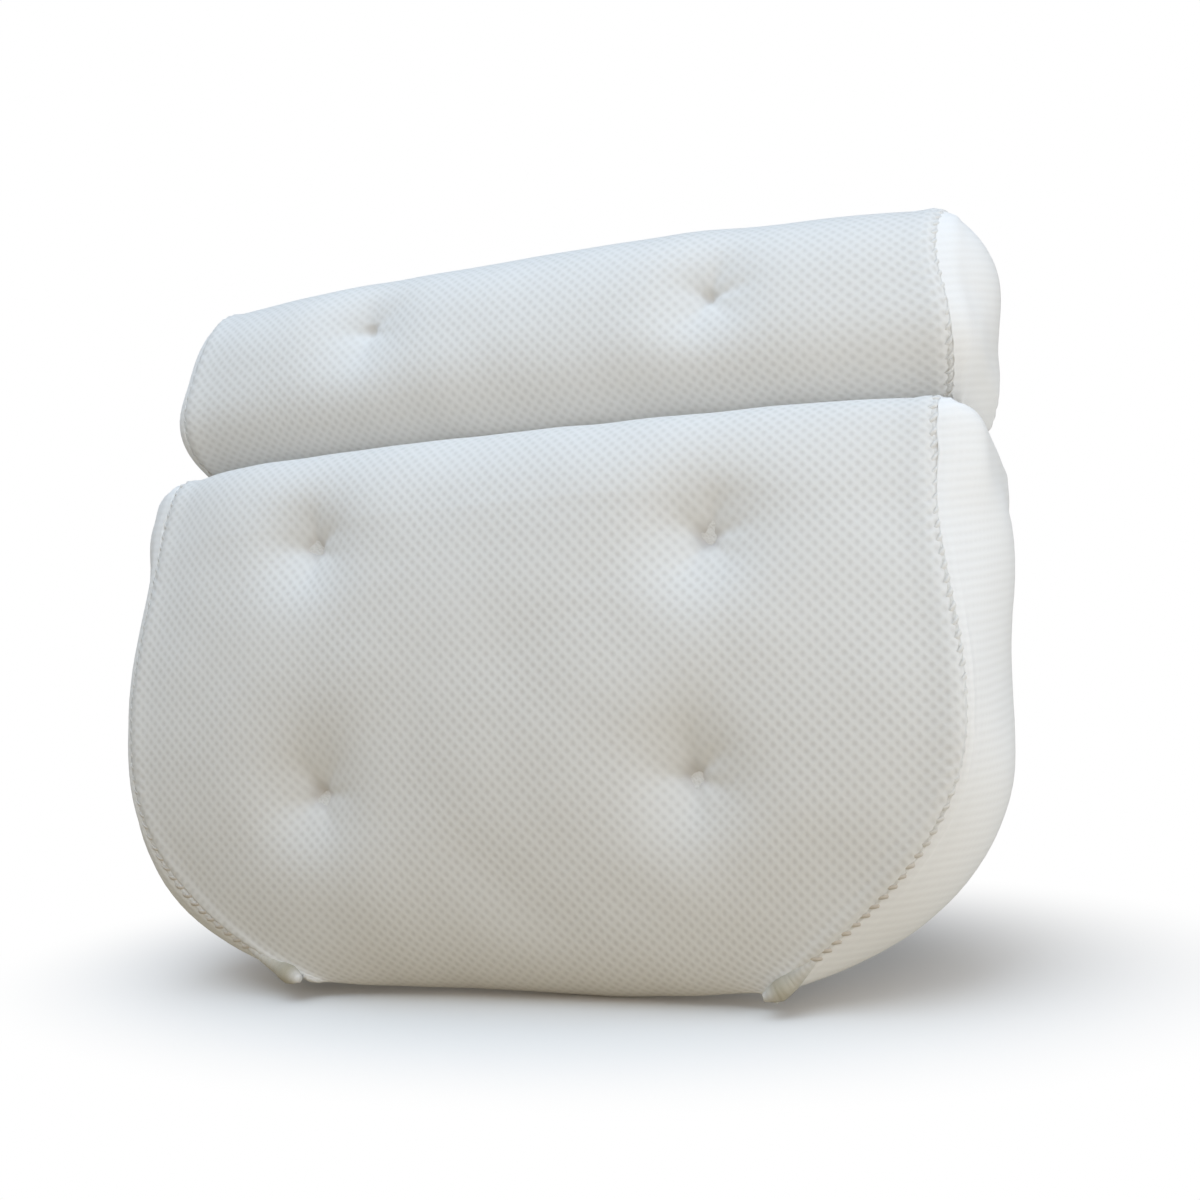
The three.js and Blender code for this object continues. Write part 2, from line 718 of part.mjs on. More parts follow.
// A suction cup: mushroom head, neck, and a bell with a flat rim and a hollow
function suctionCup() {
  const at = (r, y) => new THREE.Vector2(r, y);
  const headTop = cupHeadRoom + cupHeadThickness;
  const profile = [
    at(0, cupHeadRoom), at(cupHeadRadius, cupHeadRoom), at(cupHeadRadius, headTop),
    at(cupNeckRadius, headTop), at(cupNeckRadius, cupBase), at(cupShoulderRadius, cupBase),
  ];
  for (let i = 1; i <= cupSteps; i++) {
    const share = i / cupSteps;
    const rise = (cupHeight - cupRimWidth / 2) * share ** bellFlareShare;
    profile.push(at(lerp(cupShoulderRadius, cupRadius, share), cupBase + rise));
  }
  profile.push(at(cupRadius, wallDistance));
  for (let i = 0; i < cupSteps; i++) {
    const angle = (i / cupSteps) * quarterTurn;
    const inner = (cupRadius - cupRimWidth) * Math.cos(angle);
    profile.push(at(inner, wallDistance - cupHollow * Math.sin(angle)));
  }
  profile.push(at(0, wallDistance - cupHollow));
  return new THREE.LatheGeometry(profile, cupSides);
}

// Materials
const whiteMesh = new THREE.MeshStandardMaterial({ color: 0xe6e7e6, roughness: 0.85, metalness: 0 });
const whiteCord = new THREE.MeshStandardMaterial({ color: 0xe9e9e6, roughness: 0.8, metalness: 0 });
const fibre = new THREE.MeshStandardMaterial({ color: 0xf0f0ee, roughness: 1, metalness: 0 });
const thread = new THREE.MeshStandardMaterial({ color: 0xdcdcd8, roughness: 0.7, metalness: 0 });
const webbing = new THREE.MeshStandardMaterial({ color: 0xe2e2df, roughness: 0.8, metalness: 0 });
const clearVinyl = new THREE.MeshStandardMaterial({
  color: 0xdfe6e8, roughness: 0.15, metalness: 0, transparent: true, opacity: 0.5,
});

const pillow = new THREE.Group();

function add(name, geometry, material, x = 0, y = 0, z = 0) {
  const piece = new THREE.Mesh(geometry, material);
  piece.name = name;
  piece.position.set(x, y, z);
  pillow.add(piece);
}

function addPair(name, geometry, material, finished = (shape) => shape) {
  add(`${name}_left`, finished(mirrored(geometry)), material);
  add(`${name}_right`, finished(geometry), material);
}

// The shoulder pad
const padTopEdge = padTopStop(edgeInset + pieceGap);
const padWrap = wrapPanel(shoulder, padGrid, [padBackStop(foldInset), padTopEdge]);
add('shoulder_mesh_wrap', settled(padWrap), whiteMesh);
const padCoreEnds = [padBackStop(coreInset + pieceGap), padTopEdge];
add('shoulder_filling', settled(filling(shoulder, padGrid, padCoreEnds, padEnd)), fibre);
addPair('shoulder_end_panel', endPanel(padEnd, padPanelRows), whiteMesh, settled);
addPair('shoulder_front_seam_cord', padFrontCord(), whiteCord, settled);
const padBackCordStart = -risenTo(2 * cordGap, padHeight);
const padBackCord = seamCord(shoulder, padGrid, padBackStop(2 * cordGap), padBackCordStart);
addPair('shoulder_back_seam_cord', padBackCord, whiteCord, settled);
for (const tuft of padTufts) {
  const name = `shoulder_tuft_thread_${tuft.name}`;
  add(name, tuftThread(shoulder, tuft), thread, tuft.x, 0, tuft.z);
}

// The head roll
const rollUnderEdge = rollUnderStop(edgeInset + pieceGap);
add('head_mesh_wrap', wrapPanel(head, rollGrid, [rollUnderEdge, rollBackStop(foldInset)]), whiteMesh);
const rollCoreEnds = [rollUnderEdge, rollBackStop(coreInset + pieceGap)];
add('head_filling', filling(head, rollGrid, rollCoreEnds, rollEnd), fibre);
addPair('head_end_panel', endPanel(rollEnd, rollPanelRows), whiteMesh);
const rollFrontCord = seamCord(head, rollGrid, rollUnderStop(2 * cordGap), rollTopTravel);
addPair('head_front_seam_cord', rollFrontCord, whiteCord);
const rollBackCordStart = rollTopTravel + rowMarginShare;
const rollBackCord = seamCord(head, rollGrid, rollBackCordStart, rollBackStop(2 * cordGap));
addPair('head_back_seam_cord', rollBackCord, whiteCord);
for (const tuft of rollTufts) {
  add(`head_tuft_thread_${tuft.name}`, tuftThread(head, tuft), thread, tuft.x, 0, tuft.z);
}

// The fold line's cord, on the axis about which the roll folds back
const foldLength = 2 * (rollHalfWidth - cordGap);
const foldCord = new THREE.CylinderGeometry(foldCordRadius, foldCordRadius, foldLength, holeSides);
foldCord.rotateZ(quarterTurn);
add('fold_seam_cord', foldCord, whiteCord, 0, 0, foldHeight);

// Tabs and suction cups on the back
for (const cup of [...padCups, ...rollCups]) {
  add(`cup_tab_${cup.name}`, cupTab(), webbing, cup.x, 0, cup.z);
  add(`suction_cup_${cup.name}`, suctionCup(), clearVinyl, cup.x, 0, cup.z);
}

// The origin lies on the bath's wall, in the middle of the cups, and the pillow leans back with it
const cupMiddle = mean([...padCups, ...rollCups].map((cup) => cup.z));
pillow.position.set(0, -wallDistance, -cupMiddle);
const bathPillow = new THREE.Group();
bathPillow.rotation.x = -bathSlope;
bathPillow.add(pillow);

export default bathPillow;
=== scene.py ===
"""A bath pillow: a tufted shoulder pad and a head roll in white spacer mesh, with suction cups behind.

Shapes are worked out in the pillow's own millimetres, then leant back and scaled into the frame.
In those millimetres X runs across, Y from face to back and Z up along the back.
"""

import json
import math
from functools import lru_cache

import bmesh
import bpy
from mathutils import Matrix, Vector, noise

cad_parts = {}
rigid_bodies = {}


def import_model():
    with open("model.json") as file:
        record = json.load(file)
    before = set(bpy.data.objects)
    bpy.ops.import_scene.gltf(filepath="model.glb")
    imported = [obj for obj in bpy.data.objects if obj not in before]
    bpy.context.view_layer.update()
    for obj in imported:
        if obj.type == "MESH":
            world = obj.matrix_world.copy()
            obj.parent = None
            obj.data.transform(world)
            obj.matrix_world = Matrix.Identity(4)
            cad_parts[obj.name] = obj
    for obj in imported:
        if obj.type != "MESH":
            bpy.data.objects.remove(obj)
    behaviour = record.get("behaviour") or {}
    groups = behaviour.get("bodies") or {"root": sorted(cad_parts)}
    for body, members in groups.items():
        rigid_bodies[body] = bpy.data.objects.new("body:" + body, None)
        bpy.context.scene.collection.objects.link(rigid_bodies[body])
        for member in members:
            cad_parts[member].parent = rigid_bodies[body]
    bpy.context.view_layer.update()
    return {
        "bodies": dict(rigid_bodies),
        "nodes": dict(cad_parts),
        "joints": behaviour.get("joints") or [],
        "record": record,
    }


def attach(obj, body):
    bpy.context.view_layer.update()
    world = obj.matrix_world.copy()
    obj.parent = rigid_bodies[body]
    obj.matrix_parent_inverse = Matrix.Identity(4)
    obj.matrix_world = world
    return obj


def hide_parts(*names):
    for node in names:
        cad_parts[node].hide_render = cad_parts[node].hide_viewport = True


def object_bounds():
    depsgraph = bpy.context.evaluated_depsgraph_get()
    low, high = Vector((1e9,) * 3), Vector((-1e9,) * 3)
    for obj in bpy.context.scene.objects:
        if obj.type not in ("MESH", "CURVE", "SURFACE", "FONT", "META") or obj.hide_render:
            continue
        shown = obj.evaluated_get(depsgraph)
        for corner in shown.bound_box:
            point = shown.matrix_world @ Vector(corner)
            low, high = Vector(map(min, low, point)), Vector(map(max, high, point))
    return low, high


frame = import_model()

MM = 0.001
QUARTER_TURN = math.pi / 2

# Fabric and seams
MESH_THICKNESS = 2.6
PIECE_GAP = 0.3
CORD_RADIUS = 1.9
EDGE_INSET = MESH_THICKNESS + PIECE_GAP
SEAM_INSET = 0.3
SEAM_DIP = 0.9
SEAM_DIP_WIDTH = 1.8
SEAM_PUFF = 0.9
SEAM_PUFF_PLACE = 5
SEAM_PUFF_WIDTH = 3
WELT_SINK = 2.6
PUCKER_PITCH = 5.0
PUCKER_RISE = 0.3
PUCKER_REACH = 3
PUCKER_WANDER = (0.4, 18)
CORE_INSET = EDGE_INSET + 2 * PIECE_GAP
SEAM_STEP = 2.4

# Lumps of the filling under the cloth, each a height and the length over which it changes
COVER_LUMPS = ((1.3, 62), (0.5, 24))
COVER_LUMP_SHIFT = (7, 3, 1)
END_LUMPS = ((0.9, 34), (0.3, 12))
END_LUMP_EDGE = 8

# Shoulder pad
PAD_HALF_WIDTH = 180
PAD_WIDEST_HEIGHT = 103
PAD_TOP_HALF_WIDTH = 171
PAD_FOOT_HALF_WIDTH = 103
PAD_FACE_HEIGHT = 178
PAD_HEIGHT = 214
PAD_SAG = 1.5
PAD_TOP_CROWN = 8
PAD_CROWN_DEPTH = 88
PAD_SEAM_DEPTH = 70
PAD_FOOT_DEPTH = 27
PAD_BOTTOM_DEPTH = 12
PAD_FOOT_BULGE = 20
PAD_SIDE_BULGE = 9
PAD_SHOULDER_BULGE = 20
PAD_CORNER_OUT = 8
PAD_CORNER_RISE = 6.5
PAD_SETTLE = 6
SLUMP_RADIUS = 24
SLUMP = (4, 2, -2.5)
FOLD_DROP = 3.2
SEAM_END_RADIUS = 4.2
SEAM_END_LENGTH = 10.5
SEAM_END_TAPER = 30
SEAM_TIP_NARROWING = 0.65
SEAM_TIP_STEPS = 1.1

# Head roll
ROLL_GAP = 0.6
ROLL_HALF_WIDTH = 168
ROLL_HEIGHT = 87
ROLL_CROWN_HEIGHT = 4
ROLL_CROWN_DEPTH = 76
ROLL_SEAM_DEPTH = 62
ROLL_BACK_ROUND = 30
ROLL_SIDE_BULGE = 18
ROLL_BASE = PAD_HEIGHT + ROLL_GAP

# The pad pushes the roll's lower front corners outwards
ROLL_EASE = 6
ROLL_EASE_REACH = 40
ROLL_EASE_HEIGHT_SHARES = (0.3, 0.75)

# How full the two ends are stuffed near the fold, and how they swell towards each other there
PAD_END_SWELL = 2.5
ROLL_END_SWELL = 3.5
PAD_FOLD_BULGE = 15
ROLL_FOLD_BULGE = 14.5
ROLL_FULL_HEIGHT_SHARE = 0.6
FOLD_SWELL_INSET = 3
FOLD_SWELL_REACH = 4
FOLD_END_ROUND = 16
FOLD_END_HEIGHTS = (18, 45)
PAD_END_START = 0.06
PAD_END_FOLD_GAP = 2
RIM_STEPS = 60

# Stretches of travel near the fold whose seam points tell how far a place of an end is from its rim
PAD_RIM_STRETCHES = ((0.7, 2), (-1, -0.5))
ROLL_RIM_STRETCHES = ((0, 1.3), (2.7, 4))

# Fold seam
FOLD_HEIGHT = PAD_HEIGHT + ROLL_GAP / 2
FOLD_CORD_RADIUS = 1.6
FOLD_STILL_REACH = (20, 65)
FOLD_STITCH_END = 12
FOLD_STEPS = 140
COVER_FOLD_GAP = 1.2
COVER_CORD_SHARE = 0.6

# Stretches of travel in which a section's middle line runs to the fold
PAD_FACE_TO_FOLD = (1.82, 2)
PAD_BACK_TO_FOLD = (-0.9, -1)
ROLL_UNDER_TO_FOLD = (0.2, 0)
ROLL_BACK_TO_FOLD = (3, 4)

# Steps of the covers' grids: coarse, fine and how wide the fine part is, in millimetres
COVER_ROW_STEPS = (1.8, 0.9, 9)
COVER_COLUMN_STEPS = (5.0, 1.0, 8)

# Cloth simulation of the filled covers: a coarse grid, a slightly smaller start and a cap on every move
DRAPE_STEP = 6
DRAPE_START_INSET = 0.4
DRAPE_CAP = 2
DRAPE_PRESSURE = 8
DRAPE_FRAMES = 20
DRAPE_QUALITY = 5
DRAPE_STIFFNESS = 15
DRAPE_BACK_HELD = 6
DRAPE_FOOT_HELD = 16
DRAPE_TUFT_HELD = 7
DRAPE_INWARD_SHARE = 0.15

# Overlock stitches
OVERLOCK_WIDTH = 1.8
OVERLOCK_SLANT = 52
OVERLOCK_SLACK = 0.15
OVERLOCK_FLATNESS_SHARE = 0.22

# Tufts
TUFT_DEPTH = 16
ROLL_TUFT_DEPTH = 12
TUFT_PINCH_RADIUS = 5
TUFT_BOWL_RADIUS = 21
TUFT_PULL_RADIUS = 11
TUFT_PIT = 1.2
TUFT_PIT_RADIUS = 2.6
TUFT_FOLD_RISE = 0.4
TUFT_FOLD_RING = (9, 8)
TUFT_FOLD_COUNT = 5
THREAD_RADIUS = 0.8
KNOT_RADIUS = 1.4
DIMPLE_KNOT_RADIUS = 0.8
DIMPLE_KNOT_SINK = 2.4
KNOT_STEPS = 44
KNOT_LENGTH_STEPS = 1.1
KNOT_WINDING = (0.04, 2.2)

# Cups and tabs
CUP_RADIUS = 25
CUP_HEIGHT = 14
CUP_HOLLOW = 12
CUP_RIM_WIDTH = 3
CUP_SHOULDER_RADIUS = 8
CUP_NECK_RADIUS = 3.4
CUP_HEAD_RADIUS = 7.5
CUP_HEAD_THICKNESS = 1.8
CUP_HEAD_ROOM = 0.6
CUP_RIDGE = 0.35
CUP_RIDGE_SHARES = (0.42, 0.8)
CUP_RIDGE_WIDTH_SHARE = 0.03
CUP_BELL_STEPS = 26
CUP_HOLLOW_STEPS = 17
TAB_WIDTH = 27
TAB_LENGTH = 46
TAB_FOOT_LENGTH = 9
TAB_THICKNESS = 1.4
TAB_RISE = 3.4
TAB_TOP = PIECE_GAP + TAB_RISE + TAB_THICKNESS
TAB_STITCH_SPACING = 2.6
TAB_STITCH_LENGTH = 1.1
TAB_STITCH_RADIUS = 0.3
TAB_STITCH_INSET = 2
STITCH_LIFT = 0.1
BUTTONHOLE_SPACING = 0.62
BUTTONHOLE_THREAD_RADIUS = 0.24
BUTTONHOLE_STEPS = 48
CUP_BASE = TAB_TOP + PIECE_GAP
WALL_DISTANCE = CUP_BASE + CUP_HEIGHT

# Places, as shares of a section's half width and height
PAD_TUFT_SHARES = {
    "upper_left": (-0.5, 0.795),
    "upper_right": (0.5, 0.757),
    "lower_left": (-0.495, 0.336),
    "lower_right": (0.456, 0.354),
}
ROLL_TUFT_SHARES = {"left": (-0.458, 0.648), "right": (0.472, 0.568)}
PAD_CUP_SHARES = {
    "pad_upper_left": (-0.7, 0.77),
    "pad_upper_right": (0.7, 0.77),
    "pad_lower_left": (-0.655, 0.336),
    "pad_lower_right": (0.655, 0.336),
}
ROLL_CUP_SHARES = {"roll_left": (-0.298, 0.453), "roll_right": (0.298, 0.453)}

# Shape shares
BUNDLED_SHARE = 0.1
BUNDLED_POWER = 0.6
CORNER_FULLNESS_SHARE = 2.6
SETTLED_SHARES = (0.4, 0.92)
CROWN_FULLNESS_SHARE = 3
PAD_TOP_SQUARENESS_SHARE = 3
ROLL_UNDER_SQUARENESS_SHARE = 3
ROLL_TOP_SQUARENESS_SHARE = 2.3
WEDGE_SHARE = 0.22
BACK_TURN_SHARE = 3
PINCH_DEPTH_SHARE = 0.45
BELLY_ROUNDNESS_SHARE = 2
PAD_BELLY_FULLNESS_SHARE = 7
ROLL_BELLY_FULLNESS_SHARE = 3
CORE_BELLY_SHARE = 0.7
CORE_SINK_SHARE = 1.6
CORE_COLUMNS = 28
CORE_ROWS = 72
CORE_CAP_SHARES = (0.9, 0.7, 0.45, 0.2)
THREAD_SLIM_SHARE = 0.7
TAB_RING_SHARES = (0, 0.12, 0.3, 0.5, 0.68, 0.82, 0.92, 1)

# Spacer mesh: the lattice of its holes
HOLE_PITCH_ACROSS = 4.95
HOLE_PITCH_ALONG = 5.0
HOLE_EDGE = 2.1
HOLE_FLOOR = 0.1
ROW_PITCH = 3.4
ROW_SLANT_SHARE = 0.4
STITCH_PITCH = 1.7


def places(shares, half_width, height, base):
    """Named places from their shares of a section's half width and height."""
    return {name: (across * half_width, base + up * height) for name, (across, up) in shares.items()}


PAD_TUFTS = places(PAD_TUFT_SHARES, PAD_TOP_HALF_WIDTH, PAD_HEIGHT, 0)
PAD_CUPS = places(PAD_CUP_SHARES, PAD_TOP_HALF_WIDTH, PAD_HEIGHT, 0)
ROLL_TUFTS = places(ROLL_TUFT_SHARES, ROLL_HALF_WIDTH, ROLL_HEIGHT, ROLL_BASE)
ROLL_CUPS = places(ROLL_CUP_SHARES, ROLL_HALF_WIDTH, ROLL_HEIGHT, ROLL_BASE)
CUP_HEIGHTS = [z for _, z in [*PAD_CUPS.values(), *ROLL_CUPS.values()]]
CUP_MIDDLE = sum(CUP_HEIGHTS) / len(CUP_HEIGHTS)

# The pillow leans back on the bath's sloping end, with the cups' rims on the wall
LEAN_DEGREES = 24
LEAN = Matrix.Rotation(-math.radians(LEAN_DEGREES), 4, "X")
PLACE = Matrix.Scale(MM, 4) @ LEAN @ Matrix.Translation((0, -WALL_DISTANCE, -CUP_MIDDLE))


def mix(a, b, share):
    return a + (b - a) * share


def clamp(value, low, high):
    return max(low, min(high, value))


def smooth_rise(value, low, high):
    share = clamp((value - low) / (high - low), 0, 1)
    return share * share * (3 - 2 * share)


def bell(distance, width):
    """A smooth bump: 1 at no distance, almost 0 from twice the width on."""
    return math.exp(-((distance / width) ** 2))


def turns(count):
    """The cosine and sine of evenly spaced turns of a circle."""
    angles = [2 * math.pi * j / count for j in range(count)]
    return [(math.cos(angle), math.sin(angle)) for angle in angles]


def heading(path, i):
    """The way a path runs at one of its points, from the point before it to the point after it."""
    return path[min(i + 1, len(path) - 1)] - path[max(i - 1, 0)]


def in_scene(name, data):
    """A new object in the scene."""
    made = bpy.data.objects.new(name, data)
    bpy.context.scene.collection.objects.link(made)
    return made


# The sections' surfaces


def quarter_curve(angle, squareness):
    """The two coordinates of a quarter superellipse, as shares of its half axes."""
    power = 2 / squareness
    return max(math.cos(angle), 0) ** power, max(math.sin(angle), 0) ** power


def pad_half_width(z):
    """Half the pad's width between its seams, at a height."""
    if z < PAD_WIDEST_HEIGHT:
        left = 1 - max(z, 0) / PAD_WIDEST_HEIGHT
        return mix(PAD_FOOT_HALF_WIDTH, PAD_HALF_WIDTH, 1 - left**CORNER_FULLNESS_SHARE)
    return mix(PAD_HALF_WIDTH, PAD_TOP_HALF_WIDTH, smooth_rise(z, PAD_WIDEST_HEIGHT, PAD_FACE_HEIGHT))


def settled(point):
    """A point of the settled pad: the lower corners have gone to the left, and one top corner down."""
    rise = clamp(point.z / PAD_WIDEST_HEIGHT, 0, 1)
    inner, outer = (share * pad_half_width(point.z) for share in SETTLED_SHARES)
    slide = PAD_SETTLE * math.sin(math.pi * math.sqrt(rise)) ** 2 * smooth_rise(abs(point.x), inner, outer)
    from_corner = point - Vector((-PAD_TOP_HALF_WIDTH, -PAD_SEAM_DEPTH - PAD_CORNER_OUT, PAD_HEIGHT))
    slump = bell(from_corner.length, SLUMP_RADIUS)
    return point - Vector((slide, 0, 0)) + Vector(SLUMP) * slump


def eased(point):
    """A point of the roll, whose lower front corners stand out where it rests on the pad."""
    start, end = (ROLL_BASE + ROLL_HEIGHT * share for share in ROLL_EASE_HEIGHT_SHARES)
    low = 1 - smooth_rise(point.z, start, end)
    front = smooth_rise(-point.y, ROLL_BACK_ROUND, ROLL_SEAM_DEPTH - EDGE_INSET)
    away = abs(point.x) - ROLL_HALF_WIDTH
    near_seam = smooth_rise(away, -ROLL_EASE_REACH, 0) * (1 - smooth_rise(away, 0, ROLL_SIDE_BULGE))
    return point + Vector((math.copysign(ROLL_EASE * low * front * near_seam, point.x), 0, 0))


def pad_side(travel, inset=0.0):
    """The pad's side seam: up the back from the foot below 0, up the face to 1, over the top to 2."""
    if travel <= 0:
        swing = -travel * QUARTER_TURN
        z = (PAD_HEIGHT - FOLD_DROP) * (1 - math.cos(swing))
        turn = math.sin(min(swing * BACK_TURN_SHARE, QUARTER_TURN))
        return Vector((pad_half_width(z), -PAD_FOOT_DEPTH * (1 - turn**2) - inset, z))
    if travel <= 1:
        swing = travel * QUARTER_TURN
        z = PAD_FACE_HEIGHT * (1 - math.cos(swing))
        depth = mix(PAD_FOOT_DEPTH, PAD_SEAM_DEPTH, math.sin(swing) ** 2) - inset
        return Vector((pad_half_width(z), -depth, z))
    angle = (travel - 1) * QUARTER_TURN
    forward, up = quarter_curve(angle, PAD_TOP_SQUARENESS_SHARE)
    corner = math.sin(2 * angle) ** 2
    z = mix(PAD_FACE_HEIGHT, PAD_HEIGHT - inset, up) - FOLD_DROP * (1 - forward)
    depth = (PAD_SEAM_DEPTH - inset) * forward + PAD_CORNER_OUT * corner
    return Vector((PAD_TOP_HALF_WIDTH, -depth, z + PAD_CORNER_RISE * corner))


def pad_middle(travel):
    """The pad's middle line, with the same travel."""
    if travel <= 0:
        swing = -travel * QUARTER_TURN
        turn = math.sin(min(swing * BACK_TURN_SHARE, QUARTER_TURN))
        return Vector((0, -PAD_BOTTOM_DEPTH * (1 - turn), mix(-PAD_SAG, PAD_HEIGHT, 1 - math.cos(swing))))
    if travel <= 1:
        swing = travel * QUARTER_TURN
        rise = 1 - math.cos(swing)
        share = mix(math.sin(swing), rise, WEDGE_SHARE)
        depth = mix(PAD_BOTTOM_DEPTH, PAD_CROWN_DEPTH, share)
        return Vector((0, -depth, mix(-PAD_SAG, PAD_FACE_HEIGHT, rise)))
    angle = (travel - 1) * QUARTER_TURN
    forward, up = quarter_curve(angle, PAD_TOP_SQUARENESS_SHARE)
    crown = PAD_TOP_CROWN * math.sin(2 * angle) ** 2
    return Vector((0, -PAD_CROWN_DEPTH * forward, mix(PAD_FACE_HEIGHT, PAD_HEIGHT, up) + crown))


def roll_section(travel, depth, base, top, inset=0.0):
    """The roll's section: under it from 0 at the fold, front at 1, top at 2, back at 3, fold at 4."""
    middle = (base + top) / 2
    low, high = base + inset, top - inset
    if travel <= 1:
        forward, down = quarter_curve((1 - travel) * QUARTER_TURN, ROLL_UNDER_SQUARENESS_SHARE)
        return Vector((0, -mix(inset, depth - inset, forward), mix(middle, low, down)))
    if travel <= 2:
        forward, up = quarter_curve((travel - 1) * QUARTER_TURN, ROLL_TOP_SQUARENESS_SHARE)
        return Vector((0, -mix(ROLL_BACK_ROUND, depth - inset, forward), mix(middle, high, up)))
    if travel <= 3:
        up, back = quarter_curve((travel - 2) * QUARTER_TURN, ROLL_TOP_SQUARENESS_SHARE)
        return Vector((0, -mix(ROLL_BACK_ROUND, inset, back), mix(middle, high, up)))
    return Vector((0, -inset, mix(middle, low, travel - 3)))


def roll_side(travel, inset=0.0):
    point = roll_section(travel, ROLL_SEAM_DEPTH, ROLL_BASE + FOLD_DROP, ROLL_BASE + ROLL_HEIGHT, inset)
    point.x = ROLL_HALF_WIDTH
    return point


def roll_middle(travel):
    return roll_section(travel, ROLL_CROWN_DEPTH, ROLL_BASE, ROLL_BASE + ROLL_HEIGHT + ROLL_CROWN_HEIGHT)


def turning_point(low, high, holds):
    """The value between two ends at which a test stops holding."""
    for _ in range(26):
        middle = (low + high) / 2
        if holds(middle):
            low = middle
        else:
            high = middle
    return (low + high) / 2


@lru_cache(maxsize=None)
def rail_depth(rail, inset, start, end, z):
    """The depth of a rail where it reaches a height, between two travels."""
    rising = rail(end, inset).z > rail(start, inset).z
    return rail(turning_point(start, end, lambda t: (rail(t, inset).z < z) == rising), inset).y


class Section:
    """One stuffed section: its seam and middle rails, its tufts and its end panels' range."""

    def __init__(self, name, side, middle, travels, face, tufts, tuft_depth, front_depth, settle, heart,
                 body):
        self.name = name
        self.side = side
        self.middle = middle
        self.first, self.last = travels
        self.face = face
        self.tufts = tufts
        self.tuft_depth = tuft_depth
        self.front_depth = front_depth
        self.settle = settle
        self.heart = heart
        self.body = body

    def drawn_in(self, x, z):
        """How far the tufts' threads draw the mesh in at a point."""
        total = 0
        for tuft_x, tuft_z in self.tufts.values():
            away = math.hypot(x - tuft_x, z - tuft_z)
            pinch = PINCH_DEPTH_SHARE * math.exp(-away / TUFT_PINCH_RADIUS)
            bowl = (1 - PINCH_DEPTH_SHARE) * bell(away, TUFT_BOWL_RADIUS)
            total += self.tuft_depth * (pinch + bowl)
        return total

    def row(self, travel, columns):
        """The mesh cover's points at a travel. Columns run from -1 at the left seam to 1 at the right."""
        side, middle = self.side(travel), self.middle(travel)
        points = []
        for across in columns:
            point = side.lerp(middle, 1 - abs(across) ** CROWN_FULLNESS_SHARE)
            point.x = across * side.x
            if point.y < -self.front_depth:
                point.y += self.drawn_in(point.x, point.z)
            points.append(point)
        return points

    def skin(self, across, travel):
        """One point of the mesh cover."""
        return self.row(travel, [across])[0]

    def near_fold(self, start, towards, distance):
        """The travel at which the middle line comes within a distance of the fold line."""
        end = self.middle(towards)
        return turning_point(start, towards, lambda t: (self.middle(t) - end).length > distance)

    def travel_at(self, across, z):
        """The travel at which the face reaches a height, at a place across it."""
        return turning_point(*self.face, lambda t: self.skin(across, t).z < z)


shoulder = Section(
    "shoulder", pad_side, pad_middle, (-1, 2), (0.2, 1.2), PAD_TUFTS, TUFT_DEPTH, PAD_FOOT_DEPTH, settled,
    (0, -PAD_SEAM_DEPTH / 2, PAD_HEIGHT / 2), "shoulder_pad",
)
head = Section(
    "head", roll_side, roll_middle, (0, 4), (0.6, 1.7), ROLL_TUFTS, ROLL_TUFT_DEPTH, ROLL_BACK_ROUND, eased,
    (0, -ROLL_SEAM_DEPTH / 2, ROLL_BASE + ROLL_HEIGHT / 2), "head_roll",
)


class EndPanel:
    """The shape of a section's end: its height range, its rails, its belly and the edges of its rows."""

    def __init__(self, half_width, bulge, fullness, heights, front, back, edges, rim, fold_edge, fold_swell):
        self.half_width = half_width
        self.bulge = bulge
        self.fullness = fullness
        self.low, self.high = heights
        self.front, self.back = front, back
        self.edges = edges
        self.rim = rim
        self.fold_edge = fold_edge
        self.fold_swell = fold_swell

    def stuffed(self, y, z):
        """How full the end is at a place of its section, from 0 at its seams to 1 well inside them."""
        front, back = self.front(z, 0), self.back(z, 0)
        share = clamp((y - front) / max(back - front, PIECE_GAP), 0, 1)
        height = clamp((z - self.low) / (self.high - self.low), 0, 1)
        slack = (1 - abs(2 * share - 1) ** BELLY_ROUNDNESS_SHARE) * (1 - abs(2 * height - 1) ** self.fullness)
        nearby = 1 - smooth_rise(abs(z - self.fold_edge), *FOLD_END_HEIGHTS)
        if nearby == 0:
            return slack
        away = min(math.hypot(y - point.y, z - point.z) for point in self.rim)
        tight = 1 - (1 - min(away / FOLD_END_ROUND, 1)) ** 2
        return mix(slack, tight, nearby)

    def belly(self, y, z):
        """How far out the end stands at a place of its section."""
        return self.half_width(z) + self.bulge(z) * self.stuffed(y, z)

    def swell(self, y, z):
        """How far the end swells up or down near its rim, towards the other section's end."""
        away = abs(z - self.fold_edge) - FOLD_SWELL_INSET
        return self.fold_swell * self.stuffed(y, z) * bell(away, FOLD_SWELL_REACH)


ROLL_END_MIDDLE = ROLL_BASE + (ROLL_HEIGHT + FOLD_DROP) / 2
PAD_END_TOP = PAD_HEIGHT - FOLD_DROP - SEAM_INSET


def pad_front_depth(z, inset):
    return rail_depth(pad_side, inset, 0, 2, z)


def pad_back_depth(z, inset):
    return rail_depth(pad_side, inset, 0, -1, z)


def roll_front_depth(z, inset):
    return rail_depth(roll_side, inset, 0 if z < ROLL_END_MIDDLE else 2, 1, z)


def roll_back_depth(z, inset):
    return rail_depth(roll_side, inset, 4 if z < ROLL_END_MIDDLE else 2, 3, z)


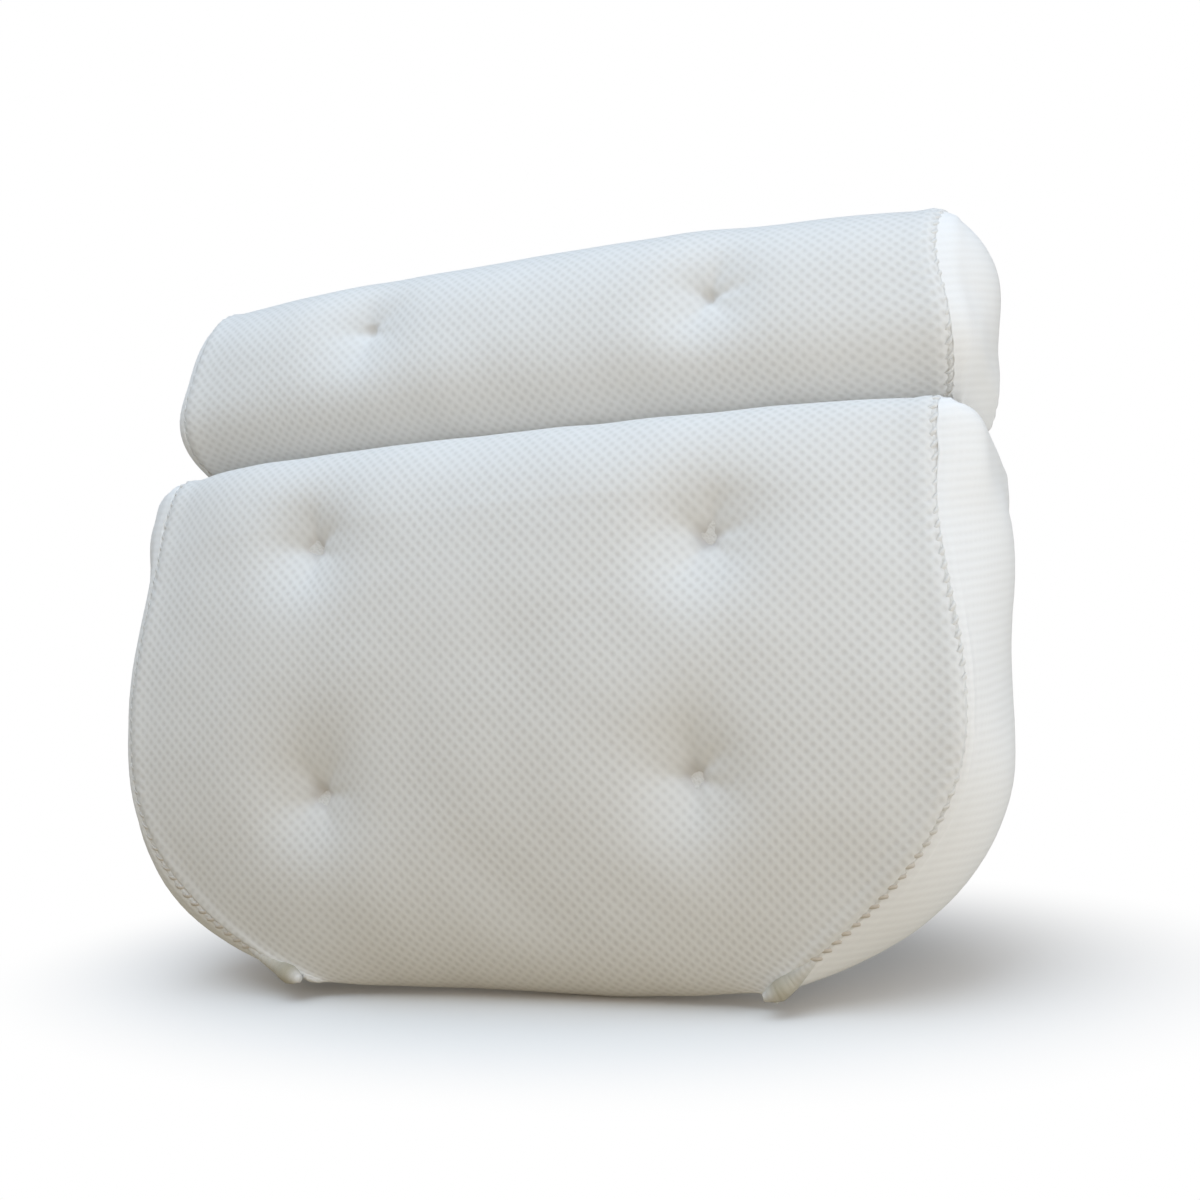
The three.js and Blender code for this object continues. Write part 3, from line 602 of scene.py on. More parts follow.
def pad_bulge(z):
    """How far the pad's end bellies out at a height."""
    low = mix(PAD_FOOT_BULGE, PAD_SIDE_BULGE, smooth_rise(z, 0, PAD_WIDEST_HEIGHT))
    shoulder_high = mix(low, PAD_SHOULDER_BULGE, smooth_rise(z, PAD_WIDEST_HEIGHT, PAD_FACE_HEIGHT))
    near, far = FOLD_END_HEIGHTS
    return mix(shoulder_high, PAD_FOLD_BULGE, smooth_rise(z, PAD_HEIGHT - far, PAD_HEIGHT - near))


def roll_bulge(z):
    """How far the roll's end bellies out at a height."""
    full_height = ROLL_BASE + ROLL_HEIGHT * ROLL_FULL_HEIGHT_SHARE
    return mix(ROLL_FOLD_BULGE, ROLL_SIDE_BULGE, smooth_rise(z, ROLL_BASE + FOLD_END_HEIGHTS[0], full_height))


def pad_edges(share):
    """The front and back edge of a row of the pad's end, which follows the front seam over the top."""
    travel = mix(PAD_END_START, shoulder.near_fold(*PAD_FACE_TO_FOLD, PAD_END_FOLD_GAP), share)
    front = pad_side(travel, SEAM_INSET)
    z = min(front.z, PAD_END_TOP)
    return front, Vector((0, pad_back_depth(z, SEAM_INSET), z))


def roll_edges(share):
    """The front and back edge of a level row of the roll's end."""
    z = mix(roll_end.low, roll_end.high, (1 - math.cos(math.pi * share)) / 2)
    return Vector((0, roll_front_depth(z, SEAM_INSET), z)), Vector((0, roll_back_depth(z, SEAM_INSET), z))


def rim_points(rail, stretches):
    """Points along a side seam over some stretches of its travel."""
    shares = [i / RIM_STEPS for i in range(RIM_STEPS + 1)]
    return [rail(mix(start, end, share)) for start, end in stretches for share in shares]


pad_end = EndPanel(
    pad_half_width, pad_bulge, PAD_BELLY_FULLNESS_SHARE, (1, PAD_END_TOP), pad_front_depth, pad_back_depth,
    pad_edges, rim_points(pad_side, PAD_RIM_STRETCHES), PAD_END_TOP, PAD_END_SWELL,
)
roll_end = EndPanel(
    lambda z: ROLL_HALF_WIDTH,
    roll_bulge,
    ROLL_BELLY_FULLNESS_SHARE,
    (ROLL_BASE + FOLD_DROP + SEAM_INSET, ROLL_BASE + ROLL_HEIGHT - SEAM_INSET),
    roll_front_depth,
    roll_back_depth,
    roll_edges,
    rim_points(roll_side, ROLL_RIM_STRETCHES),
    ROLL_BASE + FOLD_DROP + SEAM_INSET,
    -ROLL_END_SWELL,
)


# Shader helpers


class Shade:
    """A shader value that adds its own Math nodes where it stands in a sum."""

    def __init__(self, bench, socket):
        self.bench = bench
        self.socket = socket

    def _with(self, operation, *values):
        node = self.bench.node("ShaderNodeMath", {"operation": operation}, dict(enumerate(values)))
        return Shade(self.bench, node.outputs[0])

    def __add__(self, other):
        return self._with("ADD", self, other)

    __radd__ = __add__

    def __sub__(self, other):
        return self._with("SUBTRACT", self, other)

    def __rsub__(self, other):
        return self._with("SUBTRACT", other, self)

    def __mul__(self, other):
        return self._with("MULTIPLY", self, other)

    __rmul__ = __mul__

    def __truediv__(self, other):
        return self._with("DIVIDE", self, other)

    def __pow__(self, other):
        return self._with("POWER", self, other)

    def fraction(self):
        return self._with("FRACT", self)

    def sine(self):
        return self._with("SINE", self)

    def lesser(self, other):
        return self._with("MINIMUM", self, other)


class Nodes:
    """A tree of nodes and the one way in which they are added."""

    def __init__(self, tree):
        self.tree = tree

    def node(self, kind, settings=None, values=None):
        made = self.tree.nodes.new(kind)
        for name, value in (settings or {}).items():
            setattr(made, name, value)
        for name, value in (values or {}).items():
            self.feed(made.inputs[name], value)
        return made

    def feed(self, socket, value):
        if isinstance(value, Shade):
            value = value.socket
        if isinstance(value, bpy.types.NodeSocket):
            self.tree.links.new(value, socket)
        else:
            socket.default_value = value


class Bench(Nodes):
    """A material and its nodes."""

    def __init__(self, name, **finish):
        self.material = bpy.data.materials.new(name)
        self.material.use_nodes = True
        super().__init__(self.material.node_tree)
        self.shader = self.tree.nodes["Principled BSDF"]
        for socket, value in finish.items():
            self.shader.inputs[socket.replace("_", " ").title().replace("Ior", "IOR")].default_value = value

    def shade(self, kind, output, settings=None, values=None):
        return Shade(self, self.node(kind, settings, values).outputs[output])

    def place(self, source):
        """The three coordinates of the piece's UV map or of its object."""
        if source == "Object":
            vector = self.node("ShaderNodeTexCoord").outputs["Object"]
        else:
            vector = self.node("ShaderNodeUVMap", {"uv_map": source}).outputs["UV"]
        split = self.node("ShaderNodeSeparateXYZ", None, {"Vector": vector})
        return vector, [Shade(self, output) for output in split.outputs]

    def scaled(self, vector, by):
        made = self.node("ShaderNodeVectorMath", {"operation": "SCALE"}, {"Vector": vector, "Scale": by})
        return made.outputs[0]

    def grain(self, vector, scale, detail=2.0):
        """Soft noise from 0 to 1."""
        values = {"Vector": vector, "Scale": scale, "Detail": detail}
        return self.shade("ShaderNodeTexNoise", "Fac", None, values)

    def ramp(self, value, low, high, start=0.0, end=1.0):
        """A smooth step of a value between two limits."""
        settings = {"interpolation_type": "SMOOTHSTEP"}
        values = {"Value": value, "From Min": low, "From Max": high, "To Min": start, "To Max": end}
        return self.shade("ShaderNodeMapRange", "Result", settings, values)

    def blend(self, share, first, second):
        """A colour between two colours."""
        made = self.node("ShaderNodeMix", {"data_type": "RGBA"})
        self.feed(made.inputs["Factor"], share)
        self.feed(made.inputs[6], first)
        self.feed(made.inputs[7], second)
        return made.outputs[2]

    def colour(self, value):
        self.feed(self.shader.inputs["Base Color"], value)

    def roughness(self, value):
        self.feed(self.shader.inputs["Roughness"], value)

    def bump(self, height, distance, strength):
        values = {"Height": height, "Distance": distance, "Strength": strength}
        made = self.node("ShaderNodeBump", None, values)
        self.feed(self.shader.inputs["Normal"], made.outputs["Normal"])


def rgb(red, green, blue):
    return red, green, blue, 1.0


# Materials


def spacer_mesh():
    """White knitted mesh: staggered soft holes between raised yarns on the cloth's own millimetres, and
    painted tuft-pit shade.
    """
    bench = Bench("white_spacer_mesh", roughness=0.85, sheen_weight=0.2, sheen_roughness=0.6)
    vector, (u, v, _) = bench.place("cloth")
    pulled = bench.shade("ShaderNodeAttribute", "Fac", {"attribute_name": "pulled_in"})
    wander = bench.grain(vector, 60.0, 1.0) - 0.5
    across = (u / MM + wander * 0.9) / HOLE_PITCH_ACROSS
    along = (v / MM + wander * 0.7) / HOLE_PITCH_ALONG

    def distance(shift):
        sideways = ((across + shift).fraction() - 0.5) * HOLE_PITCH_ACROSS
        lengthways = ((along + shift).fraction() - 0.5) * HOLE_PITCH_ALONG
        return (sideways * sideways + lengthways * lengthways * 0.8) ** 0.5

    away = distance(0.0).lesser(distance(0.5))
    fuzz = bench.grain(vector, 2600.0, 2.0)
    uneven = bench.grain(vector, 420.0, 2.0)
    patches = bench.grain(vector, 22.0, 3.0)
    holes = bench.ramp(away + (uneven - 0.5) * 0.8, HOLE_FLOOR, HOLE_EDGE, 1.0, 0.0)
    deep = holes * (0.45 + holes * 0.55)
    open_holes = deep * (1 - pulled * 0.85) * (0.55 + patches * 0.9)
    ribs = ((across + along) * (2 * math.pi) + math.pi / 2).sine() * 0.5 + 0.5
    ribbing = ribs * (0.3 + pulled * 0.5)
    knit = bench.blend(open_holes * 0.33 + ribbing * 0.12, rgb(0.785, 0.785, 0.77), rgb(0.52, 0.51, 0.485))
    worn = bench.blend((fuzz - 0.5) * 0.14 + (patches - 0.5) * 0.1 + 0.05, knit, rgb(0.62, 0.61, 0.585))
    # Painted shade: a warm dark grey where the tufts pull the cloth in, standing in for the shadow in each
    # pit
    pit_painted_shade = bench.blend(bench.ramp(pulled, 0.6, 1.0, 0.0, 0.3), worn, rgb(0.4, 0.36, 0.34))
    bench.colour(pit_painted_shade)
    bench.roughness(0.82 + holes * 0.12)
    bench.bump((1 - open_holes) * 0.7 + (1 - ribbing) * 0.3 + fuzz * 0.12, 0.0008, 0.22)
    return bench.material


def end_mesh():
    """The end panels' closer face of the same cloth: fine rows that slant a little, and hardly any holes."""
    bench = Bench("white_end_mesh", roughness=0.88, sheen_weight=0.2, sheen_roughness=0.6)
    vector, (u, v, _) = bench.place("cloth")
    wander = bench.grain(vector, 50.0, 1.0) - 0.5
    rows = ((v / MM - u / MM * ROW_SLANT_SHARE + wander * 1.2) * (2 * math.pi / ROW_PITCH)).sine() * 0.5 + 0.5
    stitches = ((u / MM + wander * 0.8) * (2 * math.pi / STITCH_PITCH)).sine() * 0.5 + 0.5
    fuzz = bench.grain(vector, 2200.0, 2.0)
    patches = bench.grain(vector, 25.0, 3.0)
    knit = rows * 0.75 + rows * stitches * 0.25
    shade = knit * (patches * 0.4) + (fuzz - 0.5) * 0.2 + (patches - 0.5) * 0.15
    worn = bench.blend(shade, rgb(0.87, 0.87, 0.86), rgb(0.72, 0.715, 0.7))
    bench.colour(worn)
    bench.bump((1 - knit) * 0.7 + fuzz * 0.15, 0.0004, 0.2)
    return bench.material


def seam_cord():
    """The seam's welt: the same white cloth rolled tight, dull and beige where it is bundled at the foot."""
    bench = Bench("white_rolled_seam", roughness=0.85, sheen_weight=0.2)
    vector, (u, v, _) = bench.place("cloth")
    bundled = bench.shade("ShaderNodeAttribute", "Fac", {"attribute_name": "bundled"})
    twist = (u / MM * (2 * math.pi / 2.4) + v * 6.0).sine() * 0.5 + 0.5
    fuzz = bench.grain(vector, 1500.0)
    cloth = bench.blend(twist * 0.35 + fuzz * 0.3, rgb(0.78, 0.78, 0.765), rgb(0.66, 0.65, 0.62))
    bench.colour(bench.blend(bundled, cloth, rgb(0.42, 0.385, 0.29)))
    bench.bump(twist * 0.6 + fuzz * 0.4, 0.0004, 0.5)
    return bench.material


def seam_thread():
    """The broad soft thread of the overlock stitches: off-white, with painted warm shade that browns it
    towards the foot.
    """
    bench = Bench("pale_beige_seam_thread", roughness=0.85, sheen_weight=0.2)
    vector, (_, _, z) = bench.place("Object")
    fuzz = bench.grain(vector, 1800.0)
    shifts = bench.grain(vector, 60.0)
    white = bench.blend(fuzz * 0.5 + shifts * 0.4, rgb(0.78, 0.775, 0.755), rgb(0.69, 0.68, 0.65))
    # Painted shade: the thread turns darker and browner low down, for the warm dim light near the foot
    beige = bench.blend(fuzz * 0.3 + shifts * 0.6, rgb(0.68, 0.64, 0.58), rgb(0.52, 0.45, 0.37))
    bench.colour(bench.blend(bench.ramp(z, -0.1, -0.05), beige, white))
    bench.bump(fuzz, 0.0002, 0.5)
    return bench.material


def sewing_thread():
    """Natural white sewing thread with a fine twist."""
    bench = Bench("natural_sewing_thread", roughness=0.65, sheen_weight=0.1)
    vector, (x, y, z) = bench.place("Object")
    twist = ((x + y + z) / MM * (2 * math.pi / 0.5)).sine() * 0.5 + 0.5
    fuzz = bench.grain(vector, 1800.0)
    bench.colour(bench.blend(twist * 0.5 + fuzz * 0.3, rgb(0.55, 0.52, 0.47), rgb(0.72, 0.7, 0.65)))
    bench.bump(twist, 0.0001, 0.4)
    return bench.material


def woven_tape():
    """White tape: a plain weave of ribs across and along it."""
    bench = Bench("white_woven_tape", roughness=0.75, sheen_weight=0.15)
    vector, (u, v, _) = bench.place("cloth")
    ribs = (u / MM * (2 * math.pi / 1.1)).sine()
    picks = (v / MM * (2 * math.pi / 0.9)).sine()
    weave = (ribs * picks) * 0.5 + 0.5
    fuzz = bench.grain(vector, 1200.0)
    bench.colour(bench.blend(weave * 0.7 + fuzz * 0.2, rgb(0.66, 0.65, 0.62), rgb(0.83, 0.83, 0.81)))
    bench.bump(weave * 0.8 + fuzz * 0.2, 0.0003, 0.6)
    return bench.material


def fibre_wadding():
    """Loose white fibre, matted in short strands."""
    bench = Bench("white_fibre_wadding", roughness=1.0)
    vector, _ = bench.place("Object")
    clumps = bench.grain(vector, 60.0, 6.0)
    strands = bench.grain(vector, 900.0, 4.0)
    bench.colour(bench.blend(clumps * 0.5 + strands * 0.5, rgb(0.7, 0.7, 0.68), rgb(0.88, 0.88, 0.87)))
    bench.bump(clumps * 0.6 + strands * 0.4, 0.002, 0.7)
    return bench.material


def clear_vinyl():
    """Soft clear vinyl, a little cloudy, with a moulded sheen."""
    bench = Bench("clear_soft_vinyl", roughness=0.16, transmission_weight=0.55, ior=1.53, coat_weight=0.3)
    vector, (x, y, z) = bench.place("Object")
    cloud = bench.grain(vector, 90.0, 3.0)
    bench.colour(bench.blend(cloud, rgb(0.82, 0.87, 0.88), rgb(0.92, 0.95, 0.95)))
    bench.roughness(0.12 + cloud * 0.12)
    bench.feed(bench.shader.inputs["Alpha"], 0.62 + cloud * 0.1)
    bench.bump(bench.grain(vector, 240.0), 0.0002, 0.25)
    return bench.material


WHITE_MESH = spacer_mesh()
END_MESH = end_mesh()
CORD = seam_cord()
SEAM_THREAD = seam_thread()
THREAD = sewing_thread()
TAPE = woven_tape()
WADDING = fibre_wadding()
VINYL = clear_vinyl()


# Making pieces


def piece(name, mesh, material, body, stands_for=()):
    """A finished piece on its body, with its finish and the nodes that it stands for."""
    made = in_scene(name, mesh)
    made.data.materials.clear()
    made.data.materials.append(material)
    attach(made, body)
    if stands_for:
        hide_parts(*stands_for)
    return made


def grid_mesh(name, rows, flat, closed_across=False):
    """A sheet through rows of points, with a UV map in the cloth's metres."""
    columns = len(rows[0])
    points = [PLACE @ point for row in rows for point in row]
    faces = []
    last = columns if closed_across else columns - 1
    for i in range(len(rows) - 1):
        for j in range(last):
            k = (j + 1) % columns
            faces.append((i * columns + j, i * columns + k, (i + 1) * columns + k, (i + 1) * columns + j))
    mesh = bpy.data.meshes.new(name)
    mesh.from_pydata(points, [], faces)
    layer = mesh.uv_layers.new(name="cloth")
    for face in mesh.polygons:
        base = face.index // last
        for corner, loop in enumerate(face.loop_indices):
            i = base + (1 if corner > 1 else 0)
            j = face.index % last + (1 if corner in (1, 2) else 0)
            layer.data[loop].uv = flat(i, j)
    mesh.shade_smooth()
    return mesh


def turned_out(mesh, inside):
    """The mesh with its faces turned away from a point inside it."""
    mesh.calc_loop_triangles()
    centre = PLACE @ Vector(inside)
    facing = sum((face.center - centre).dot(face.normal) * face.area for face in mesh.polygons)
    if facing < 0:
        mesh.flip_normals()
    return mesh


def lined(mesh, thickness):
    """The sheet with its real thickness behind it, and its rims closed."""
    holder = in_scene("cloth_holder", mesh)
    wall = holder.modifiers.new("cloth_thickness", "SOLIDIFY")
    wall.thickness = thickness * MM
    wall.offset = -1
    depsgraph = bpy.context.evaluated_depsgraph_get()
    thick = bpy.data.meshes.new_from_object(holder.evaluated_get(depsgraph))
    bpy.data.objects.remove(holder)
    thick.shade_smooth()
    return thick


def crowded(start, end, places_of, coarse, fine, spread):
    """Steps from start to end that crowd together round some places."""
    steps = [start]
    while steps[-1] < end:
        here = steps[-1]
        near = max((bell(here - place, spread) for place in places_of), default=0)
        steps.append(here + mix(coarse, fine, near))
    stretch = (end - start) / (steps[-1] - start)
    return [start + (step - start) * stretch for step in steps]


def length_table(rail, first, last, count=600):
    """Travels along a rail with the length run so far."""
    table = [(first, 0.0)]
    here = rail(first)
    for i in range(1, count + 1):
        travel = mix(first, last, i / count)
        ahead = rail(travel)
        table.append((travel, table[-1][1] + (ahead - here).length))
        here = ahead
    return table


def looked_up(table, length):
    """The travel at which a rail has run a length."""
    for (travel_a, run_a), (travel_b, run_b) in zip(table, table[1:]):
        if run_b >= length:
            return mix(travel_a, travel_b, (length - run_a) / max(run_b - run_a, 1e-9))
    return table[-1][0]


def seam_relief(edge):
    """The valley that the stitches pull at the seam, and the puff of cloth beside it."""
    return SEAM_PUFF * bell(edge - SEAM_PUFF_PLACE, SEAM_PUFF_WIDTH) - SEAM_DIP * bell(edge, SEAM_DIP_WIDTH)


def nearness(section, point):
    """How strongly the nearest tuft pulls the cloth at a point, from 0 to 1."""
    away = min(math.hypot(point.x - x, point.z - z) for x, z in section.tufts.values())
    return bell(away, TUFT_PULL_RADIUS)


def lumpy(point, lumps, shift=(0, 0, 0)):
    """The height of the filling's broad lumps at a point, with the small ones on top of them."""
    (broad, broad_length), (small, small_length) = lumps
    low = broad * noise.noise(point / broad_length)
    return low + small * noise.noise(point / small_length + Vector(shift))


def swell(section, point, edge, run):
    """Soft lumps, seam puckers and the tufts' folds, as a distance along the face's normal."""
    clear = smooth_rise(math.hypot(point.y, point.z - FOLD_HEIGHT), *FOLD_STILL_REACH)
    lumps = clear * lumpy(point, COVER_LUMPS, COVER_LUMP_SHIFT)
    wander, wander_length = PUCKER_WANDER
    slant = (run + edge) / PUCKER_PITCH + wander * noise.noise(point / wander_length)
    pucker = PUCKER_RISE * math.sin(2 * math.pi * slant) * bell(edge - PUCKER_REACH, PUCKER_REACH)
    ring_radius, ring_width = TUFT_FOLD_RING
    folds = 0.0
    if point.y < -section.front_depth:
        for index, (tuft_x, tuft_z) in enumerate(section.tufts.values()):
            away = math.hypot(point.x - tuft_x, point.z - tuft_z)
            angle = math.atan2(point.z - tuft_z, point.x - tuft_x)
            phase = TUFT_FOLD_COUNT * angle + 2 * index + 1.5 * math.sin(angle)
            folds += TUFT_FOLD_RISE * math.cos(phase) * bell(away - ring_radius, ring_width)
            folds -= TUFT_PIT * bell(away, TUFT_PIT_RADIUS)
    return lumps + seam_relief(edge) + pucker + folds


def pulled_in(mesh, values):
    """Keeps how strongly each point of the cloth is pulled, for its finish: closing holes, ribs and painted
    shade in the tuft pits.
    """
    layer = mesh.attributes.new("pulled_in", "FLOAT", "POINT")
    layer.data.foreach_set("value", values)


def held_by(section, point):
    """Whether the back, the gathered foot or a tuft's thread holds the cloth at a point."""
    if point.y > -DRAPE_BACK_HELD or point.z < DRAPE_FOOT_HELD:
        return True
    near = min(math.hypot(point.x - x, point.z - z) for x, z in section.tufts.values())
    return point.y < -section.front_depth and near < DRAPE_TUFT_HELD


def filled_out(mesh, held):
    """Where the points of a coarse cover come to rest when its filling presses on the cloth."""
    holder = in_scene("drape", mesh)
    holder.vertex_groups.new(name="held").add(held, 1.0, "REPLACE")
    cloth = holder.modifiers.new("drape", "CLOTH")
    cloth.point_cache.frame_end = DRAPE_FRAMES
    cloth.collision_settings.use_collision = False
    filling = cloth.settings
    filling.vertex_group_mass = "held"
    filling.quality = DRAPE_QUALITY
    filling.tension_stiffness = DRAPE_STIFFNESS
    filling.compression_stiffness = DRAPE_STIFFNESS
    filling.shear_stiffness = DRAPE_STIFFNESS / 2
    filling.use_pressure = True
    filling.uniform_pressure_force = DRAPE_PRESSURE
    filling.effector_weights.gravity = 0
    for frame in range(1, DRAPE_FRAMES + 1):
        bpy.context.scene.frame_set(frame)
    shaped = holder.evaluated_get(bpy.context.evaluated_depsgraph_get()).to_mesh()
    rest = [vertex.co.copy() for vertex in shaped.vertices]
    bpy.data.objects.remove(holder)
    bpy.context.scene.frame_set(1)
    return rest


def drape(section, table):
    """The capped moves of a section's cover on a coarse grid, from a short cloth simulation."""
    rows, columns = (int(length / DRAPE_STEP) for length in (table[-1][1], 2 * section.side(1).x))
    grid = []
    for i in range(rows + 1):
        travel = looked_up(table, table[-1][1] * i / rows)
        grid.append(section.row(travel, [2 * j / columns - 1 for j in range(columns + 1)]))
    placed = [[section.settle(point) for point in row] for row in grid]
    inside = grid[0][0].lerp(grid[rows // 2][-1], 0.5)
    mesh = turned_out(grid_mesh("drape", placed, lambda i, j: (0, 0)), inside)
    home = [vertex.co.copy() for vertex in mesh.vertices]
    normals = [vertex.normal.copy() for vertex in mesh.vertices]
    held = []
    for vertex in mesh.vertices:
        i, j = divmod(vertex.index, columns + 1)
        if i in (0, rows) or j in (0, columns) or held_by(section, grid[i][j]):
            held.append(vertex.index)
        else:
            vertex.co -= vertex.normal * DRAPE_START_INSET * MM
    fixed = set(held)
    moves = []
    for index, (start, normal, end) in enumerate(zip(home, normals, filled_out(mesh, held))):
        move = Vector() if index in fixed else end - start
        move += normal * max(-move.dot(normal), 0) * (1 - DRAPE_INWARD_SHARE)
        reach = max(move.length, 1e-9)
        moves.append(move * DRAPE_CAP * MM * math.tanh(reach / (DRAPE_CAP * MM)) / reach)
    return [moves[i * (columns + 1):(i + 1) * (columns + 1)] for i in range(rows + 1)]


def spline_shares(share):
    """The shares of four neighbours in a smooth curve between the middle two."""
    left = 1 - share
    return (left ** 3 / 6, (3 * share ** 3 - 6 * share ** 2 + 4) / 6, (3 * left ** 3 - 6 * left ** 2 + 4) / 6,
            share ** 3 / 6)


def blended(line, place):
    """A line of moves read smoothly between its points, with no move at its two ends."""
    last = len(line) - 1
    base = min(int(place), last - 1)
    total = Vector()
    for shift, share in enumerate(spline_shares(place - base)):
        k = base + shift - 1
        move = -line[1] if k < 0 else -line[last - 1] if k > last else line[k]
        total += move * share
    return total


def mesh_cover(section, ends):
    """The section's one-piece cover of spacer mesh, from the fold line all round and back to it."""
    table = length_table(section.middle, *ends)
    moves = drape(section, table)
    heights = [z for _, z in section.tufts.values()]
    tuft_runs = [run for travel, run in table for z in heights if section.face[0] < travel < section.face[1]
                 and abs(section.middle(travel).z - z) < 1]
    runs = crowded(0, table[-1][1], tuft_runs, *COVER_ROW_STEPS)
    half = section.side(1).x
    places = [x for x, _ in section.tufts.values()]
    columns = [c / half for c in crowded(-half, half, [*places, -half, half], *COVER_COLUMN_STEPS)]
    rows = []
    for run in runs:
        travel = looked_up(table, run)
        limit = 1 - SEAM_INSET / section.side(travel).x
        rows.append(section.row(travel, [c * limit for c in columns]))

    def flat(i, j):
        return rows[i][j].x * MM, runs[i] * MM

    placed = [[section.settle(point) for point in row] for row in rows]
    inside = rows[0][0].lerp(rows[len(rows) // 2][-1], 0.5)
    mesh = turned_out(grid_mesh(f"{section.name}_cover", placed, flat), inside)
    across = [[blended(line, (c + 1) / 2 * (len(line) - 1)) for line in moves] for c in columns]
    pulls = []
    for index, vertex in enumerate(mesh.vertices):
        i, j = divmod(index, len(columns))
        point = rows[i][j]
        vertex.co += blended(across[j], runs[i] / runs[-1] * (len(moves) - 1))
        edge = (1 - abs(columns[j])) * abs(rows[i][-1].x)
        vertex.co += vertex.normal * swell(section, point, edge, runs[i]) * MM
        # How strongly a tuft pulls here, weaker on the roll; the finish also paints the pit shade with it
        pull = section.tuft_depth / TUFT_DEPTH * nearness(section, point)
        pulls.append(pull if point.y < -section.front_depth else 0)
    pulled_in(mesh, pulls)
    return lined(mesh, MESH_THICKNESS)


def end_cover(section, end, side, rows=80, columns=30):
    """A section's end panel of spacer mesh, bellied out between its seams."""
    grid = []
    for i in range(rows + 1):
        front, back = end.edges(i / rows)
        line = []
        for j in range(columns + 1):
            place = front.lerp(back, (1 - math.cos(math.pi * j / columns)) / 2)
            height = place.z + end.swell(place.y, place.z)
            point = Vector((side * end.belly(place.y, place.z), place.y, height))
            edge = min((place - front).length, (place - back).length)
            soft = clamp(edge / END_LUMP_EDGE, 0, 1)
            point.x += side * (lumpy(point, END_LUMPS) * soft + seam_relief(edge))
            line.append(section.settle(point))
        grid.append(line)

    def flat(i, j):
        return grid[i][j].y * MM, grid[i][j].z * MM

    inside = (0, -PAD_FOOT_DEPTH, (end.low + end.high) / 2)
    mesh = turned_out(grid_mesh(f"{section.name}_end", grid, flat), inside)
    return lined(mesh, MESH_THICKNESS)


def closed_ends(mesh, rows, columns):
    """The mesh with its first and last ring of points closed, and its faces turned outwards."""
    form = bmesh.new()
    form.from_mesh(mesh)
    form.verts.ensure_lookup_table()
    for start in (0, (rows - 1) * columns):
        form.faces.new([form.verts[start + j] for j in range(columns)])
    bmesh.ops.recalc_face_normals(form, faces=form.faces)
    form.to_mesh(mesh)
    form.free()
    mesh.shade_smooth()
    return mesh


def tube(name, path, radius_at, sides=14, bundled_at=None):
    """A round cord through a path, closed at both ends, with a UV map along it."""
    normal = Vector((0, 1, 0))
    rows = []
    runs = [0.0]
    for i, centre in enumerate(path):
        along = heading(path, i).normalized()
        normal = (normal - along * normal.dot(along)).normalized()
        across = along.cross(normal)
        if i:
            runs.append(runs[-1] + (centre - path[i - 1]).length)
        radius = radius_at(i)
        rows.append([centre + normal * radius * c + across * radius * s for c, s in turns(sides)])
    mesh = grid_mesh(name, rows, lambda i, j: (runs[i] * MM, j / sides), closed_across=True)
    mesh = closed_ends(mesh, len(rows), sides)
    if bundled_at:
        layer = mesh.attributes.new("bundled", "FLOAT", "POINT")
        layer.data.foreach_set("value", [bundled_at(index // sides) for index in range(len(mesh.vertices))])
    return mesh


def curve_through(name, path):
    """A plain curve object through a path."""
    curve = bpy.data.curves.new(name, "CURVE")
    curve.dimensions = "3D"
    line = curve.splines.new("POLY")
    line.points.add(len(path) - 1)
    for knot, point in zip(line.points, path):
        knot.co = (*(PLACE @ point), 1)
    return in_scene(name, curve)


class Jig(Nodes):
    """A Geometry Nodes tree with named inputs for its sizes."""

    def __init__(self, name, sizes):
        super().__init__(bpy.data.node_groups.new(name, "GeometryNodeTree"))
        self.keys = {}
        self.tree.interface.new_socket("Geometry", in_out="INPUT", socket_type="NodeSocketGeometry")
        kinds = {"Material": "NodeSocketMaterial", "Outward": "NodeSocketVector"}
        for size in sizes:
            kind = kinds.get(size, "NodeSocketFloat")
            made = self.tree.interface.new_socket(size, in_out="INPUT", socket_type=kind)
            self.keys[size] = made.identifier
        self.tree.interface.new_socket("Geometry", in_out="OUTPUT", socket_type="NodeSocketGeometry")
        self.given = self.tree.nodes.new("NodeGroupInput").outputs

    def node(self, kind, settings=None, **values):
        """The outputs of a new node, whose inputs are fed by name."""
        named = {name.replace("_", " "): value for name, value in values.items()}
        return super().node(kind, settings, named).outputs

    def finish(self, geometry):
        """The closing nodes: real instances, a smooth finish and the material."""
        real = self.node("GeometryNodeRealizeInstances", Geometry=geometry)["Geometry"]
        smooth = self.node("GeometryNodeSetShadeSmooth", Geometry=real)["Geometry"]
        done = self.node("GeometryNodeSetMaterial", Geometry=smooth, Material=self.given["Material"])
        self.tree.links.new(done["Geometry"], self.tree.nodes.new("NodeGroupOutput").inputs["Geometry"])
        return self

    def run(self, source, **sizes):
        """The plain mesh that the tree makes from an object, which is then removed."""
        step = source.modifiers.new("jig", "NODES")
        step.node_group = self.tree
        for name, value in sizes.items():
            step[self.keys[name.replace("_", " ")]] = list(value) if isinstance(value, Vector) else value
        depsgraph = bpy.context.evaluated_depsgraph_get()
        mesh = bpy.data.meshes.new_from_object(source.evaluated_get(depsgraph))
        source.modifiers.remove(step)
        bpy.data.objects.remove(source)
        return mesh


